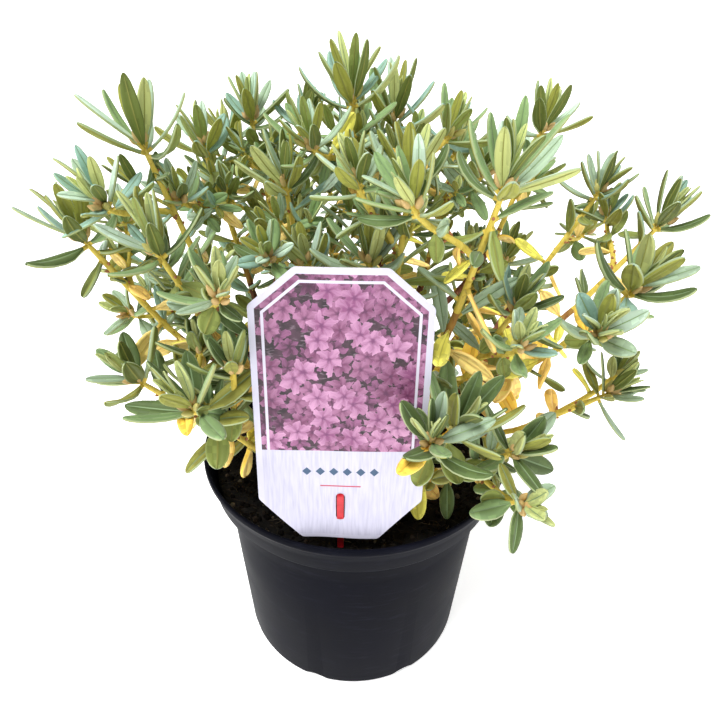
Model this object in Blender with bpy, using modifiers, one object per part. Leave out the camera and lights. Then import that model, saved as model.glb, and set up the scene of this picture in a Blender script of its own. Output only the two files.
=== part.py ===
"""Potted rhododendron: a low, bushy shrub in a black nursery pot, with a picture label on a plastic stick.

Metres, +Z up. The origin is the middle of the pot's flat underside and the front, where the label
stands, is -Y. The shrub is a short trunk, its boughs, and one mass of foliage at each bough's tip.
Every piece is an object of its own, and pieces that touch keep a gap of 0.3 mm.
"""

import math
import random

import bmesh
import bpy
from mathutils import Matrix, Vector
from mathutils.bvhtree import BVHTree
from mathutils.geometry import interpolate_bezier

GAP = 0.0003
UP = Vector((0, 0, 1))
GOLDEN = math.radians(137.5)

# Pot
POT_HEIGHT = 0.148
RIM_RADIUS = 0.095
RIM_LIP = 0.0024
COLLAR_FOOT = 0.1255
COLLAR_RADIUS = 0.0900
BODY_RADIUS = 0.0827
FOOT_RADIUS = 0.0755
FOOT_CHAMFER = 0.0020
POT_WALL = 0.0016
POT_FLOOR = 0.0050
COLLAR_SLOPE = 0.0048
POT_STEPS = 36
POT_CLEARANCE = 0.0012

# Drains: arches cut across the foot, each with a hole up through the floor
DRAINS = 8
DRAIN_AZIMUTH = 27
DRAIN_HEIGHT = 0.0045
DRAIN_HALF_WIDTH = 0.0100
DRAIN_REACH = (0.0600, 0.0900)
DRAIN_HOLE_REACH = 0.0645
DRAIN_HOLE_RADIUS = 0.0030
DRAIN_HOLE_DEPTH = 0.0200
ARCH_SIDES = 24
HOLE_SIDES = 8

# Soil
SOIL_LEVEL = 0.1360
SOIL_DIP = 0.0020

# Label card and the stick that holds it
CARD_WIDTH = 0.0816
CARD_HEIGHT = 0.1437
CARD_THICK = 0.0008
CARD_TOP_CUT = (0.0206, 0.0178)
CARD_BOTTOM_CUT = (0.0214, 0.0241)
CARD_FOOT = Vector((-0.0070, -0.0844, 0.1469))
CARD_LEAN = 5.9
SLOT_HEIGHT_UP = 0.0200
SLOT_SIZE = (0.0044, 0.0165)
NOSE_PROUD = 0.0008
STICK_WIDTH = 0.0034
STICK_THICK = 0.0018
STICK_FOOT = (-0.0775, 0.1050)

# Trunk
TRUNK_TOP = Vector((-0.003, 0.004, 0.182))
TRUNK_FOOT_RADIUS = 0.0120
TRUNK_WAIST_RADIUS = 0.0078
TRUNK_TOP_RADIUS = 0.0055
TRUNK_FLARE_HEIGHT = 0.0100
TRUNK_BEND = 0.0023

# Boughs: those that leave the trunk, then those that leave another bough
MAIN_RADIUS = (0.0030, 0.0018)
SIDE_RADIUS = (0.0022, 0.0016)
TRUNK_FORK_ANGLE = 66
BOUGH_FORK_ANGLE = 48
BOUGH_POINTS = 5
BOUGH_STUB = 0.0020
BOUGH_SWEEP = 0.38
SEAT_STEPS = 8
SEAT_MOST = 3

# Each row: the limb it leaves and how far along it, the azimuth in degrees (0 front, 90 right), reach
# and height of its leading shoot in millimetres, its number of shoots, for its side shoots the azimuth
# of the first and how far they spread from the leader, and the length of its longest leaves in millimetres
BOUGHS = {
    "top": ("trunk", 1.00, -174, 47, 341, 2, -30, 75, 31),
    "left_high": ("trunk", 0.58, -88, 105, 324, 2, -25, 65, 38),
    "front_left_low": ("trunk", 0.32, -42, 110, 225, 2, 125, 35, 35),
    "left_back_high": ("trunk", 0.34, -118, 101, 314, 3, -155, 75, 29),
    "front": ("trunk", 0.82, 29, 45, 317, 2, -75, 35, 32),
    "right_front": ("trunk", 0.58, 45, 83, 321, 2, -80, 60, 38),
    "right": ("trunk", 0.33, 96, 167, 284, 2, -165, 60, 30),
    "front_right_low": ("trunk", 0.34, 31, 91, 212, 2, -50, 24, 35),
    "back": ("trunk", 0.32, 176, 128, 288, 3, 100, 62, 32),
    "right_back": ("trunk", 0.60, 146, 108, 306, 3, 20, 62, 32),
    "left": ("left_high", 0.45, -76, 135, 288, 2, 180, 65, 33),
    "left_front": ("left_high", 0.30, -61, 103, 288, 2, 45, 66, 32),
    "left_low": ("front_left_low", 0.42, -64, 122, 222, 2, 105, 55, 30),
    "back_left_high": ("left_back_high", 0.62, -136, 92, 327, 3, 85, 50, 29),
    "back_left": ("left_back_high", 0.40, -152, 125, 285, 3, 165, 62, 30),
    "back_left_low": ("left_back_high", 0.20, -112, 135, 240, 3, 175, 62, 31),
    "top_right": ("top", 0.38, 161, 58, 330, 3, 80, 50, 32),
    "inner_left": ("top", 0.20, -100, 39, 305, 2, -12, 80, 30),
    "front_middle": ("front", 0.35, 8, 38, 280, 2, -105, 50, 30),
    "right_middle": ("right_front", 0.30, 60, 88, 260, 2, 0, 40, 29),
    "right_back_high": ("right_back", 0.50, 127, 141, 322, 2, 150, 75, 31),
    "right_back_low": ("right_back", 0.22, 130, 132, 235, 3, 170, 62, 31),
    "right_far": ("right", 0.50, 111, 154, 291, 2, 140, 70, 29),
    "right_near": ("right", 0.34, 78, 141, 265, 2, -30, 70, 33),
    "right_low": ("right", 0.20, 70, 138, 214, 2, 160, 20, 25),
    "front_corner_low": ("front_right_low", 0.35, 46, 108, 198, 2, 20, 38, 27),
    "back_low": ("back", 0.25, -170, 118, 228, 3, 150, 62, 31),
}

# Foliage: twigs and leaves
STEM_LENGTH = 0.010
STEM_RUN_IN = 1.1
LEADER_LENGTH = 0.030
SIDE_SHOOT_LENGTH = 0.038
SIDE_SHOOT_TURN = 140
SIDE_SHOOT_RISE = 0.35
TWIG_RADIUS = 0.0020
TWIG_TAPER = 0.75
ROSETTE_DEPTH = 0.010
ROSETTE_LEAVES = 10
LEAF_SHORTEST = 0.80
LEAF_LENGTH_DRAW = (0.85, 1.1)
LEAF_WIDTH = 0.0110
LEAF_THICK = 0.0018
SIDE_LEAF_SIZE = 0.78
LEAF_SPLAY = (90, 9)
LEAF_DROOP = 70
LEAF_SPLAY_EASE = 0.6
LEAF_SPLAY_DRAW = 8
LEAF_RISE = 0.009
LEAF_SUNK = 0.0004
LEAF_SHORTER = (1.0, 0.8)
LEAN_MOST = 54
LEAN_REACH = 0.135
LEAN_CAP = 1.15
LEAN_TOP = 0.360
LEAN_LOW = 0.190
LEAN_EASE = 0.72


def bearing(azimuth):
    """The level direction at an azimuth in degrees, 0 to the front and 90 to the right."""
    angle = math.radians(azimuth)
    return Vector((math.sin(angle), -math.cos(angle), 0))


def frame(origin, along, across):
    """A placement whose local Z runs along one direction and whose local X lies across it."""
    z = along.normalized()
    y = z.cross(across).normalized()
    return Matrix.Translation(origin) @ Matrix((y.cross(z), y, z)).transposed().to_4x4()


def material(name, colour, roughness):
    made = bpy.data.materials.new(name)
    made.use_nodes = True
    shader = made.node_tree.nodes["Principled BSDF"]
    shader.inputs["Base Color"].default_value = (*colour, 1)
    shader.inputs["Roughness"].default_value = roughness
    return made


def add(name, data, collection, finish=None):
    made = bpy.data.objects.new(name, data)
    collection.objects.link(made)
    if finish:
        data.materials.append(finish)
    return made


def mesh_from(shapes):
    made = bpy.data.meshes.new("shape")
    shapes.to_mesh(made)
    shapes.free()
    return made


def cylinder(radius, depth, sides):
    shapes = bmesh.new()
    bmesh.ops.create_cone(
        shapes, cap_ends=True, segments=sides, radius1=radius, radius2=radius, depth=depth
    )
    return mesh_from(shapes)


def as_cutter(piece):
    piece.hide_render = True
    piece.display_type = "WIRE"
    return piece


def boolean(piece, operation, operand, solver="EXACT"):
    """A Boolean of a piece with one object or with a whole collection."""
    cut = piece.modifiers.new(operation.title(), "BOOLEAN")
    cut.operation = operation
    cut.solver = solver
    if isinstance(operand, bpy.types.Collection):
        cut.operand_type = "COLLECTION"
        cut.collection = operand
    else:
        cut.object = operand


def apply_modifiers(piece):
    """The piece's modifiers made part of its mesh."""
    graph = bpy.context.evaluated_depsgraph_get()
    mesh = bpy.data.meshes.new_from_object(piece.evaluated_get(graph))
    piece.modifiers.clear()
    piece.data = mesh


def turned(name, profile, collection, finish, steps):
    """A solid turned about Z from an open profile, listed up its inner side and down its outer side."""
    mesh = bpy.data.meshes.new(name)
    edges = [(i, i + 1) for i in range(len(profile) - 1)]
    mesh.from_pydata([(radius, 0, height) for radius, height in profile], edges, [])
    piece = add(name, mesh, collection, finish)
    screw = piece.modifiers.new("Screw", "SCREW")
    screw.steps = steps
    screw.render_steps = steps
    screw.use_merge_vertices = True
    screw.merge_threshold = 0.00001
    screw.use_smooth_shade = False
    return piece


def flat_outline(name, loops, thick, collection, finish=None):
    """A flat sheet from closed outlines, the first one its edge and the others its holes."""
    curve = bpy.data.curves.new(name, "CURVE")
    curve.dimensions = "2D"
    curve.fill_mode = "BOTH"
    curve.extrude = thick / 2
    for loop in loops:
        spline = curve.splines.new("POLY")
        spline.points.add(len(loop) - 1)
        spline.use_cyclic_u = True
        for point, (x, y) in zip(spline.points, loop):
            point.co = (x, y, 0, 1)
    return add(name, curve, collection, finish)


def tube(name, path, radii, collection, finish=None):
    """A tapering six-sided limb along a path."""
    curve = bpy.data.curves.new(name, "CURVE")
    curve.dimensions = "3D"
    curve.bevel_depth = max(radii)
    curve.bevel_resolution = 1
    curve.use_fill_caps = True
    spline = curve.splines.new("POLY")
    spline.points.add(len(path) - 1)
    for point, place, radius in zip(spline.points, path, radii):
        point.co = (*place, 1)
        point.radius = radius / curve.bevel_depth
    return add(name, curve, collection, finish)


def to_mesh_object(curve_piece):
    """A curve made a mesh object in its place, with its caps welded on."""
    graph = bpy.context.evaluated_depsgraph_get()
    mesh = bpy.data.meshes.new_from_object(curve_piece.evaluated_get(graph))
    shapes = bmesh.new()
    shapes.from_mesh(mesh)
    bmesh.ops.remove_doubles(shapes, verts=shapes.verts, dist=0.000001)
    bmesh.ops.recalc_face_normals(shapes, faces=shapes.faces)
    shapes.to_mesh(mesh)
    shapes.free()
    piece = add(curve_piece.name + "_mesh", mesh, curve_piece.users_collection[0])
    piece.matrix_world = curve_piece.matrix_world
    name = curve_piece.name
    bpy.data.objects.remove(curve_piece)
    piece.name = name
    return piece


def surface_tree(placed):
    """A search tree over the faces of meshes, each with its placement."""
    points = []
    faces = []
    for mesh, matrix in placed:
        first = len(points)
        points += [matrix @ vertex.co for vertex in mesh.vertices]
        faces += [[first + i for i in face.vertices] for face in mesh.polygons]
    return BVHTree.FromPolygons(points, faces)


# Pot and soil


def pot_inside(clear):
    """Profile of the pot's inner face from its floor to under its rim, drawn in by a clearance."""
    inset = POT_WALL + clear
    return [
        (FOOT_RADIUS - inset, POT_FLOOR + clear),
        (BODY_RADIUS - inset, COLLAR_FOOT + clear),
        (COLLAR_RADIUS - inset, COLLAR_FOOT + COLLAR_SLOPE + clear),
    ]


def build_pot(parts, cutters, finish):
    lip_foot = POT_HEIGHT - 2 * RIM_LIP
    rim = [
        (RIM_RADIUS - RIM_LIP - POT_WALL / 2, lip_foot),
        (RIM_RADIUS - RIM_LIP, POT_HEIGHT - RIM_LIP / 4),
        (RIM_RADIUS - RIM_LIP / 2, POT_HEIGHT),
        (RIM_RADIUS - RIM_LIP / 6, POT_HEIGHT - RIM_LIP / 4),
        (RIM_RADIUS, POT_HEIGHT - RIM_LIP),
        (RIM_RADIUS - RIM_LIP / 4, lip_foot),
    ]
    outside = [
        (RIM_RADIUS - RIM_LIP / 2, lip_foot - RIM_LIP / 4),
        (COLLAR_RADIUS, COLLAR_FOOT),
        (BODY_RADIUS, COLLAR_FOOT),
        (FOOT_RADIUS, FOOT_CHAMFER),
        (FOOT_RADIUS - FOOT_CHAMFER, 0),
    ]
    profile = [(0, POT_FLOOR), *pot_inside(0), *rim, *outside, (0, 0)]
    pot = turned("pot", profile, parts, finish, POT_STEPS)
    arch_radius = (DRAIN_HALF_WIDTH**2 + DRAIN_HEIGHT**2) / (2 * DRAIN_HEIGHT)
    inner, outer = DRAIN_REACH
    for i in range(DRAINS):
        out = bearing(DRAIN_AZIMUTH + i * 360 / DRAINS)
        middle = out * (inner + outer) / 2
        middle.z = DRAIN_HEIGHT - arch_radius
        arch = add(f"drain_arch_{i}", cylinder(arch_radius, outer - inner, ARCH_SIDES), cutters)
        arch.matrix_world = frame(middle, out, UP)
        bore = cylinder(DRAIN_HOLE_RADIUS, DRAIN_HOLE_DEPTH, HOLE_SIDES)
        hole = add(f"drain_hole_{i}", bore, cutters)
        hole.location = out * DRAIN_HOLE_REACH
        as_cutter(arch)
        as_cutter(hole)
    boolean(pot, "DIFFERENCE", cutters)


def build_soil(parts, finish):
    inside = pot_inside(GAP)
    edge = inside[-1][0]
    profile = [
        (0, SOIL_LEVEL),
        (edge / 2, SOIL_LEVEL),
        (edge + GAP, SOIL_LEVEL - SOIL_DIP),
        *reversed(inside),
        (0, POT_FLOOR + GAP),
    ]
    return turned("soil", profile, parts, finish, POT_STEPS)


# Label


def card_place(across, up, ahead):
    """A point from the card's own frame: across and up from its foot's middle, and out of its face."""
    lean = math.radians(CARD_LEAN)
    rise = Vector((0, math.sin(lean), math.cos(lean)))
    face = Vector((0, -math.cos(lean), math.sin(lean)))
    return CARD_FOOT + Vector((across, 0, 0)) + rise * up + face * ahead


def card_outline():
    half = CARD_WIDTH / 2
    right = [
        (half - CARD_BOTTOM_CUT[0], 0),
        (half, CARD_BOTTOM_CUT[1]),
        (half, CARD_HEIGHT - CARD_TOP_CUT[1]),
        (half - CARD_TOP_CUT[0], CARD_HEIGHT),
    ]
    return right + [(-x, y) for x, y in reversed(right)]


def build_card(parts, finish):
    half = SLOT_SIZE[0] / 2
    low = SLOT_HEIGHT_UP - SLOT_SIZE[1] / 2
    high = SLOT_HEIGHT_UP + SLOT_SIZE[1] / 2
    slot = [(half, low), (half, high), (-half, high), (-half, low)]
    card = flat_outline("label_card", [card_outline(), slot], CARD_THICK, parts, finish)
    card.location = CARD_FOOT
    card.rotation_euler = (math.radians(90 - CARD_LEAN), 0, 0)
    return card


def stick_outline(swell):
    """The stick seen from its side, as (y, z): a straight shaft behind the card, pointed at its foot, with
    a nose at its top that comes forward through the card's slot."""
    slot_half = SLOT_SIZE[1] / 2 - 2 * GAP
    nose_low = card_place(0, SLOT_HEIGHT_UP - slot_half, 0).z
    top = card_place(0, SLOT_HEIGHT_UP + slot_half, -CARD_THICK / 2 - GAP)
    nose = card_place(0, SLOT_HEIGHT_UP, CARD_THICK / 2 + NOSE_PROUD).y
    lean = (STICK_FOOT[0] - top.y) / (top.z - STICK_FOOT[1])
    front = top.y + lean * (top.z - nose_low)
    shoulder = STICK_FOOT[1] + 2 * STICK_THICK
    foot_front = STICK_FOOT[0] - lean * (shoulder - STICK_FOOT[1])
    return [
        (top.y + STICK_THICK + swell, top.z),
        (nose, top.z),
        (nose, nose_low),
        (front - swell, nose_low),
        (foot_front - swell, shoulder),
        (STICK_FOOT[0] + STICK_THICK / 2, STICK_FOOT[1] - swell),
        (foot_front + STICK_THICK + swell, shoulder),
    ]


def side_extrusion(name, outline, width, collection, finish=None):
    """An outline drawn as (y, z) and extruded across X."""
    piece = flat_outline(name, [outline], width, collection, finish)
    piece.location.x = CARD_FOOT.x
    piece.rotation_euler = (math.pi / 2, 0, math.pi / 2)
    return piece


def build_stick(parts, soil, cutters, finish):
    """The stick, and the hole in the soil that it stands in."""
    stick = side_extrusion("label_stick", stick_outline(0), STICK_WIDTH, parts, finish)
    hole = side_extrusion("stick_hole", stick_outline(GAP), STICK_WIDTH + 2 * GAP, cutters)
    boolean(soil, "DIFFERENCE", as_cutter(to_mesh_object(hole)))
    return stick


# Limbs


def along_limb(limb, fraction):
    """The point and direction at a fraction of a limb's length."""
    path, _ = limb
    steps = [(b - a).length for a, b in zip(path, path[1:])]
    left = fraction * sum(steps)
    first = 0
    while first < len(steps) - 1 and left > steps[first]:
        left -= steps[first]
        first += 1
    point = path[first].lerp(path[first + 1], left / steps[first])
    return point, (path[first + 1] - path[first]).normalized()


def trunk_limb():
    foot = Vector((0, 0, SOIL_LEVEL + GAP))
    waist = foot + UP * TRUNK_FLARE_HEIGHT
    middle = (waist + TRUNK_TOP) / 2 + UP * TRUNK_BEND
    path = [foot, foot + UP * TRUNK_FLARE_HEIGHT / 2, waist, middle, TRUNK_TOP]
    flare = (TRUNK_FOOT_RADIUS + 2 * TRUNK_WAIST_RADIUS) / 3
    upper = (TRUNK_WAIST_RADIUS + TRUNK_TOP_RADIUS) / 2
    return path, [TRUNK_FOOT_RADIUS, flare, TRUNK_WAIST_RADIUS, upper, TRUNK_TOP_RADIUS]


def shoot_lean(reach, height):
    """How far a shoot leans outwards: most where it is low and far out."""
    rise = (height - LEAN_LOW) / (LEAN_TOP - LEAN_LOW)
    return math.radians(LEAN_MOST) * min(reach / LEAN_REACH, LEAN_CAP) * (1 - LEAN_EASE * rise)


def leading_shoot(row):
    """The foot of a mass's leading rosette, and the way its shoot points."""
    azimuth, reach, height = row[2:5]
    out = bearing(azimuth)
    place = out * reach / 1000 + UP * height / 1000
    lean = shoot_lean(reach / 1000, height / 1000)
    axis = out * math.sin(lean) + UP * math.cos(lean)
    return place - axis * ROSETTE_DEPTH / 2, axis


def bough_limb(row, parent, offset):
    """A bough from an offset off its parent's axis to where it enters its mass."""
    from_trunk = row[0] == "trunk"
    radii = MAIN_RADIUS if from_trunk else SIDE_RADIUS
    tip, axis = leading_shoot(row)
    end = tip - axis * (LEADER_LENGTH + STEM_LENGTH + GAP)
    point, along = along_limb(parent, row[1])
    if row[1] == 1:
        start = point + along * GAP
        away = along
    else:
        fork = math.radians(TRUNK_FORK_ANGLE if from_trunk else BOUGH_FORK_ANGLE)
        out = end - point
        out = (out - along * out.dot(along)).normalized()
        away = out * math.sin(fork) + along * math.cos(fork)
        start = point + away * offset
    sweep = (end - start).length * BOUGH_SWEEP
    first = start + away * BOUGH_STUB
    last = end - axis * BOUGH_STUB
    bend = interpolate_bezier(first, start + away * sweep, end - axis * sweep, last, BOUGH_POINTS)
    path = [start, *bend, end]
    steps = len(path) - 1
    return path, [radii[0] + (radii[1] - radii[0]) * i / steps for i in range(len(path))]


def limb_surface(limb, swell, scratch):
    """A limb's surface as a mesh, swollen by a margin."""
    path, radii = limb
    foot = path[0] - (path[1] - path[0]).normalized() * swell
    tip = path[-1] + (path[-1] - path[-2]).normalized() * swell
    guide = tube("guide", [foot, *path[1:-1], tip], [radius + swell for radius in radii], scratch)
    guide = to_mesh_object(guide)
    mesh = guide.data
    bpy.data.objects.remove(guide)
    return mesh


def grow_limbs(scratch):
    """The trunk and the boughs, each bough seated a gap clear of the limb it leaves."""
    limbs = {"trunk": trunk_limb()}
    for name, row in BOUGHS.items():
        parent = limbs[row[0]]
        parent_tree = surface_tree([(limb_surface(parent, 0, scratch), Matrix())])
        near = 0
        far = SEAT_MOST * max(parent[1])
        for _ in range(SEAT_STEPS):
            offset = (near + far) / 2
            swollen = limb_surface(bough_limb(row, parent, offset), GAP, scratch)
            if surface_tree([(swollen, Matrix())]).overlap(parent_tree):
                near = offset
            else:
                far = offset
        limbs[name] = bough_limb(row, parent, far)
    return limbs


# Foliage


def mass_shoots(row, twig, blocked):
    """A mass's twigs as (foot, tip) pairs, its stem first, and its rosettes as (foot, direction, length of
    the longest leaves). A side shoot that would touch a limb or the label is skipped.
    """
    place, axis = leading_shoot(row)
    fork = place - axis * LEADER_LENGTH
    twigs = [(fork - axis * STEM_LENGTH, fork), (fork, place + axis * ROSETTE_DEPTH)]
    longest = row[8] / 1000
    rosettes = [(place, axis, longest)]
    shoots, turn, spread = row[5:8]
    for i in range(shoots - 1):
        out = bearing(turn + i * SIDE_SHOOT_TURN)
        out = (out - axis * out.dot(axis)).normalized()
        angle = math.radians(spread)
        way = out * math.sin(angle) + axis * math.cos(angle)
        upward = (way + UP * SIDE_SHOOT_RISE).normalized()
        foot = fork + way * SIDE_SHOOT_LENGTH
        pair = [(fork, foot), (foot, foot + upward * ROSETTE_DEPTH)]
        if not blocked.overlap(surface_tree([(twig, twig_matrix(*ends, 2 * GAP)) for ends in pair])):
            twigs += pair
            rosettes.append((foot, upward, longest * SIDE_LEAF_SIZE))
    return twigs, rosettes


def rosette_leaves(foot, axis, longest, draw):
    """One rosette's leaves as placements: spreading and long at its foot, short and upright at its tip."""
    across = axis.orthogonal().normalized()
    beside = axis.cross(across)
    spin = draw.uniform(0, math.tau)
    for i in range(ROSETTE_LEAVES):
        level = i / (ROSETTE_LEAVES - 1)
        turn = spin + i * GOLDEN
        out = across * math.cos(turn) + beside * math.sin(turn)
        widest = LEAF_SPLAY[0] + LEAF_DROOP * (1 - axis.z)
        splay = widest + (LEAF_SPLAY[1] - widest) * level**LEAF_SPLAY_EASE
        splay = math.radians(splay + draw.uniform(-LEAF_SPLAY_DRAW, LEAF_SPLAY_DRAW))
        length = longest * (1 + (LEAF_SHORTEST - 1) * level) * draw.uniform(*LEAF_LENGTH_DRAW)
        way = axis * math.cos(splay) + out * math.sin(splay)
        root = foot + axis * LEAF_RISE * level - way * LEAF_SUNK
        yield root, way, axis.cross(out), length


def leaf_matrix(root, way, across, length, margin=0.0):
    """Placement of the unit leaf: local Z along the blade, X across it, Y through it."""
    size = (LEAF_WIDTH + 2 * margin, LEAF_THICK + 2 * margin, length + 2 * margin)
    return frame(root + way * length / 2, way, across) @ Matrix.Diagonal((*size, 1))


def unit_leaf():
    """A blade of unit length, width and thickness: ridged along its upper side and flat below."""
    shapes = bmesh.new()
    stretch = Matrix.Diagonal((1 / math.sin(math.radians(60)), 4 / 3, 1, 1))
    upright = stretch @ Matrix.Rotation(math.pi / 2, 4, "Z")
    bmesh.ops.create_uvsphere(shapes, u_segments=3, v_segments=2, radius=0.5, matrix=upright)
    return mesh_from(shapes)


def unit_twig():
    """A three-sided twig of unit length and radius that stands on its foot."""
    shapes = bmesh.new()
    bmesh.ops.create_cone(
        shapes,
        cap_ends=True,
        segments=3,
        radius1=1,
        radius2=TWIG_TAPER,
        depth=1,
        matrix=Matrix.Translation((0, 0, 0.5)),
    )
    return mesh_from(shapes)


def twig_matrix(foot, tip, margin=0.0):
    along = tip - foot
    radius = TWIG_RADIUS + margin
    size = Matrix.Diagonal((radius, radius, along.length + margin, 1))
    return frame(foot, along, along.orthogonal()) @ size


def keeps_space(points, site, others):
    """True where each point is nearer to its own rosette than to any rosette of another mass."""
    for other in others:
        middle = (site + other) / 2
        away = (other - site).normalized()
        if any((point - middle).dot(away) > -GAP for point in points):
            return False
    return True


def clear_of_pot(points):
    """True where each point is above the rim, or all of them are outside it."""
    above = all(point.z > POT_HEIGHT + POT_CLEARANCE for point in points)
    outside = all(point.xy.length > RIM_RADIUS + POT_CLEARANCE for point in points)
    return above or outside


def build_foliage(parts, limbs, fixtures, scratch, finish):
    leaf = unit_leaf()
    twig = unit_twig()
    corners = [vertex.co.copy() for vertex in leaf.vertices]

    # What leaves keep clear of: the limbs, label and stick, each a little swollen, and other masses' twigs
    swollen = [(limb_surface(limb, 2 * GAP, scratch), Matrix()) for limb in limbs.values()]
    graph = bpy.context.evaluated_depsgraph_get()
    for piece in fixtures:
        placed = piece.evaluated_get(graph)
        swollen.append((bpy.data.meshes.new_from_object(placed), placed.matrix_world.copy()))
    fixed_tree = surface_tree(swollen)
    shoots = {name: mass_shoots(row, twig, fixed_tree) for name, row in BOUGHS.items()}
    twig_trees = {
        name: surface_tree([(twig, twig_matrix(*ends, 2 * GAP)) for ends in twigs])
        for name, (twigs, _) in shoots.items()
    }

    def site(rosette):
        return rosette[0] + rosette[1] * ROSETTE_DEPTH

    for name, (twigs, rosettes) in shoots.items():
        draw = random.Random(name)
        others = [site(r) for other in shoots if other != name for r in shoots[other][1]]
        trees = [fixed_tree] + [twig_trees[other] for other in shoots if other != name]
        for i, ends in enumerate(twigs[1:]):
            piece = add(f"twig_{i}", twig, scratch)
            piece.matrix_world = twig_matrix(*ends)
        for rosette in rosettes:
            for root, way, across, length in rosette_leaves(*rosette, draw):
                for share in LEAF_SHORTER:
                    swollen_leaf = leaf_matrix(root, way, across, length * share, 2 * GAP)
                    points = [swollen_leaf @ corner for corner in corners]
                    if not keeps_space(points, site(rosette), others) or not clear_of_pot(points):
                        continue
                    tree = surface_tree([(leaf, swollen_leaf)])
                    if any(tree.overlap(other) for other in trees):
                        continue
                    piece = add("leaf", leaf, scratch)
                    piece.matrix_world = leaf_matrix(root, way, across, length * share)
                    break
        stem = add(f"foliage_{name}", twig.copy(), parts)
        stem.matrix_world = twig_matrix(*twigs[0])
        stem.matrix_world @= Matrix.Diagonal((1, 1, STEM_RUN_IN, 1))
        boolean(stem, "UNION", scratch, "MANIFOLD")
        apply_modifiers(stem)
        stem.data.materials.clear()
        stem.data.materials.append(finish)
        for piece in list(scratch.objects):
            bpy.data.objects.remove(piece)


def main():
    for old in list(bpy.data.objects):
        bpy.data.objects.remove(old)
    parts = bpy.data.collections.new("potted_rhododendron")
    cutters = bpy.data.collections.new("cutters")
    label_cutters = bpy.data.collections.new("label_cutters")
    scratch = bpy.data.collections.new("scratch")
    for collection in (parts, cutters, label_cutters, scratch):
        bpy.context.scene.collection.children.link(collection)

    black_plastic = material("black_plastic", (0.018, 0.018, 0.022), 0.45)
    peat = material("peat", (0.020, 0.013, 0.009), 0.95)
    card_white = material("card_white", (0.80, 0.74, 0.86), 0.45)
    red_plastic = material("red_plastic", (0.55, 0.02, 0.03), 0.35)
    bark = material("bark", (0.20, 0.09, 0.05), 0.80)
    leaf_green = material("leaf_green", (0.16, 0.29, 0.17), 0.55)

    limbs = grow_limbs(scratch)
    build_pot(parts, cutters, black_plastic)
    soil = build_soil(parts, peat)
    card = build_card(parts, card_white)
    stick = build_stick(parts, soil, label_cutters, red_plastic)
    for name, (path, radii) in limbs.items():
        tube(name if name == "trunk" else f"bough_{name}", path, radii, parts, bark)
    build_foliage(parts, limbs, (card, stick), scratch, leaf_green)
    bpy.data.collections.remove(scratch)


main()
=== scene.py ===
"""Looks of the potted rhododendron: leaves, shoots, bark, buds, peat, pot and picture label.

Metres, +Z up, front -Y. The limbs, shoots and rosettes follow the same rule and named values as the
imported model's source, and each foliage mass is carried on from its bough to finer shoots and leaves.
"""

import math
import random
from dataclasses import dataclass

import bmesh
import bpy
import numpy as np
from mathutils import Matrix, Vector, noise
from mathutils.bvhtree import BVHTree
from mathutils.geometry import interpolate_bezier


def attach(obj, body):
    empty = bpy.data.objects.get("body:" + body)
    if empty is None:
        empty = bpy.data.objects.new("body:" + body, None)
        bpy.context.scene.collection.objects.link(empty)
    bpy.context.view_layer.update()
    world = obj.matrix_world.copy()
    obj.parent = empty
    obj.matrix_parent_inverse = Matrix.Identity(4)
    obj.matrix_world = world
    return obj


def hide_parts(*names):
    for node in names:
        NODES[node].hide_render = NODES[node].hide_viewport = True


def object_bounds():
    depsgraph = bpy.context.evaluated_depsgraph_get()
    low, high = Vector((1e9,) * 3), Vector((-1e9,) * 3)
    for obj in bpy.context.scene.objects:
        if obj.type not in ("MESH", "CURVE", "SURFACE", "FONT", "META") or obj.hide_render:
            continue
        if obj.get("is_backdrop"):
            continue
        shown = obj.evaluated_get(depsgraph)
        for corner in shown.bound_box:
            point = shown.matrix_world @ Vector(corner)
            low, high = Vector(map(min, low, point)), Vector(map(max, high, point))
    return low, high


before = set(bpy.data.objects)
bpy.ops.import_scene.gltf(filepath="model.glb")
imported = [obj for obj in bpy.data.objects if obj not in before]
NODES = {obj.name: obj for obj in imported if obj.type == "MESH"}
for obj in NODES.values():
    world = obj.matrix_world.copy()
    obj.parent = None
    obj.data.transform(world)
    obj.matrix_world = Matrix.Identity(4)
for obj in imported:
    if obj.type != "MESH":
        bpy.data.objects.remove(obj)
CAD_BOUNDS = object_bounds()

UP = Vector((0, 0, 1))
GOLDEN = math.radians(137.5)

# Camera: where the photograph was taken from
CAMERA_PLACE = Vector((0, -0.2974, 0.3810))
CAMERA_YAW = 0.36
CAMERA_PITCH = 30.78
CAMERA_ROLL = 1.21
CAMERA_LENS = 29.17
CAMERA_SENSOR = 36

# Light and stage
FLOOR_SIDE = 400
FLOOR_GLOW = 0.65
WALL_HEIGHT = 30
SKY_STRENGTH = 0.52
SUN_STRENGTH = 3.2
SUN_SOFTNESS = 25
SUN_TURN = (16, -20, 0)

# Pot
POT_HEIGHT = 0.148
RIM_RADIUS = 0.095
RIM_LIP = 0.0024
COLLAR_FOOT = 0.1255
COLLAR_RADIUS = 0.0900
BODY_RADIUS = 0.0827
FOOT_RADIUS = 0.0755
FOOT_CHAMFER = 0.0020
POT_WALL = 0.0016
POT_FLOOR = 0.0050
COLLAR_SLOPE = 0.0048
POT_STEPS = 160
POT_AXIS_GAP = 0.0004
POT_ROUNDING = 0.0011
POT_WOBBLE = 0.0012
DRAINS = 8
DRAIN_AZIMUTH = 27
DRAIN_HEIGHT = 0.0045
DRAIN_HALF_WIDTH = 0.0100
DRAIN_REACH = (0.0600, 0.0900)
# The step below the collar: a radius, and a height from the collar's foot
COLLAR_STEP = [
    (COLLAR_RADIUS + 0.0022, 0.0120),
    (COLLAR_RADIUS, 0.0010),
    (BODY_RADIUS + 0.0008, -0.0016),
    (BODY_RADIUS - 0.0010, -0.0180),
]

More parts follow.
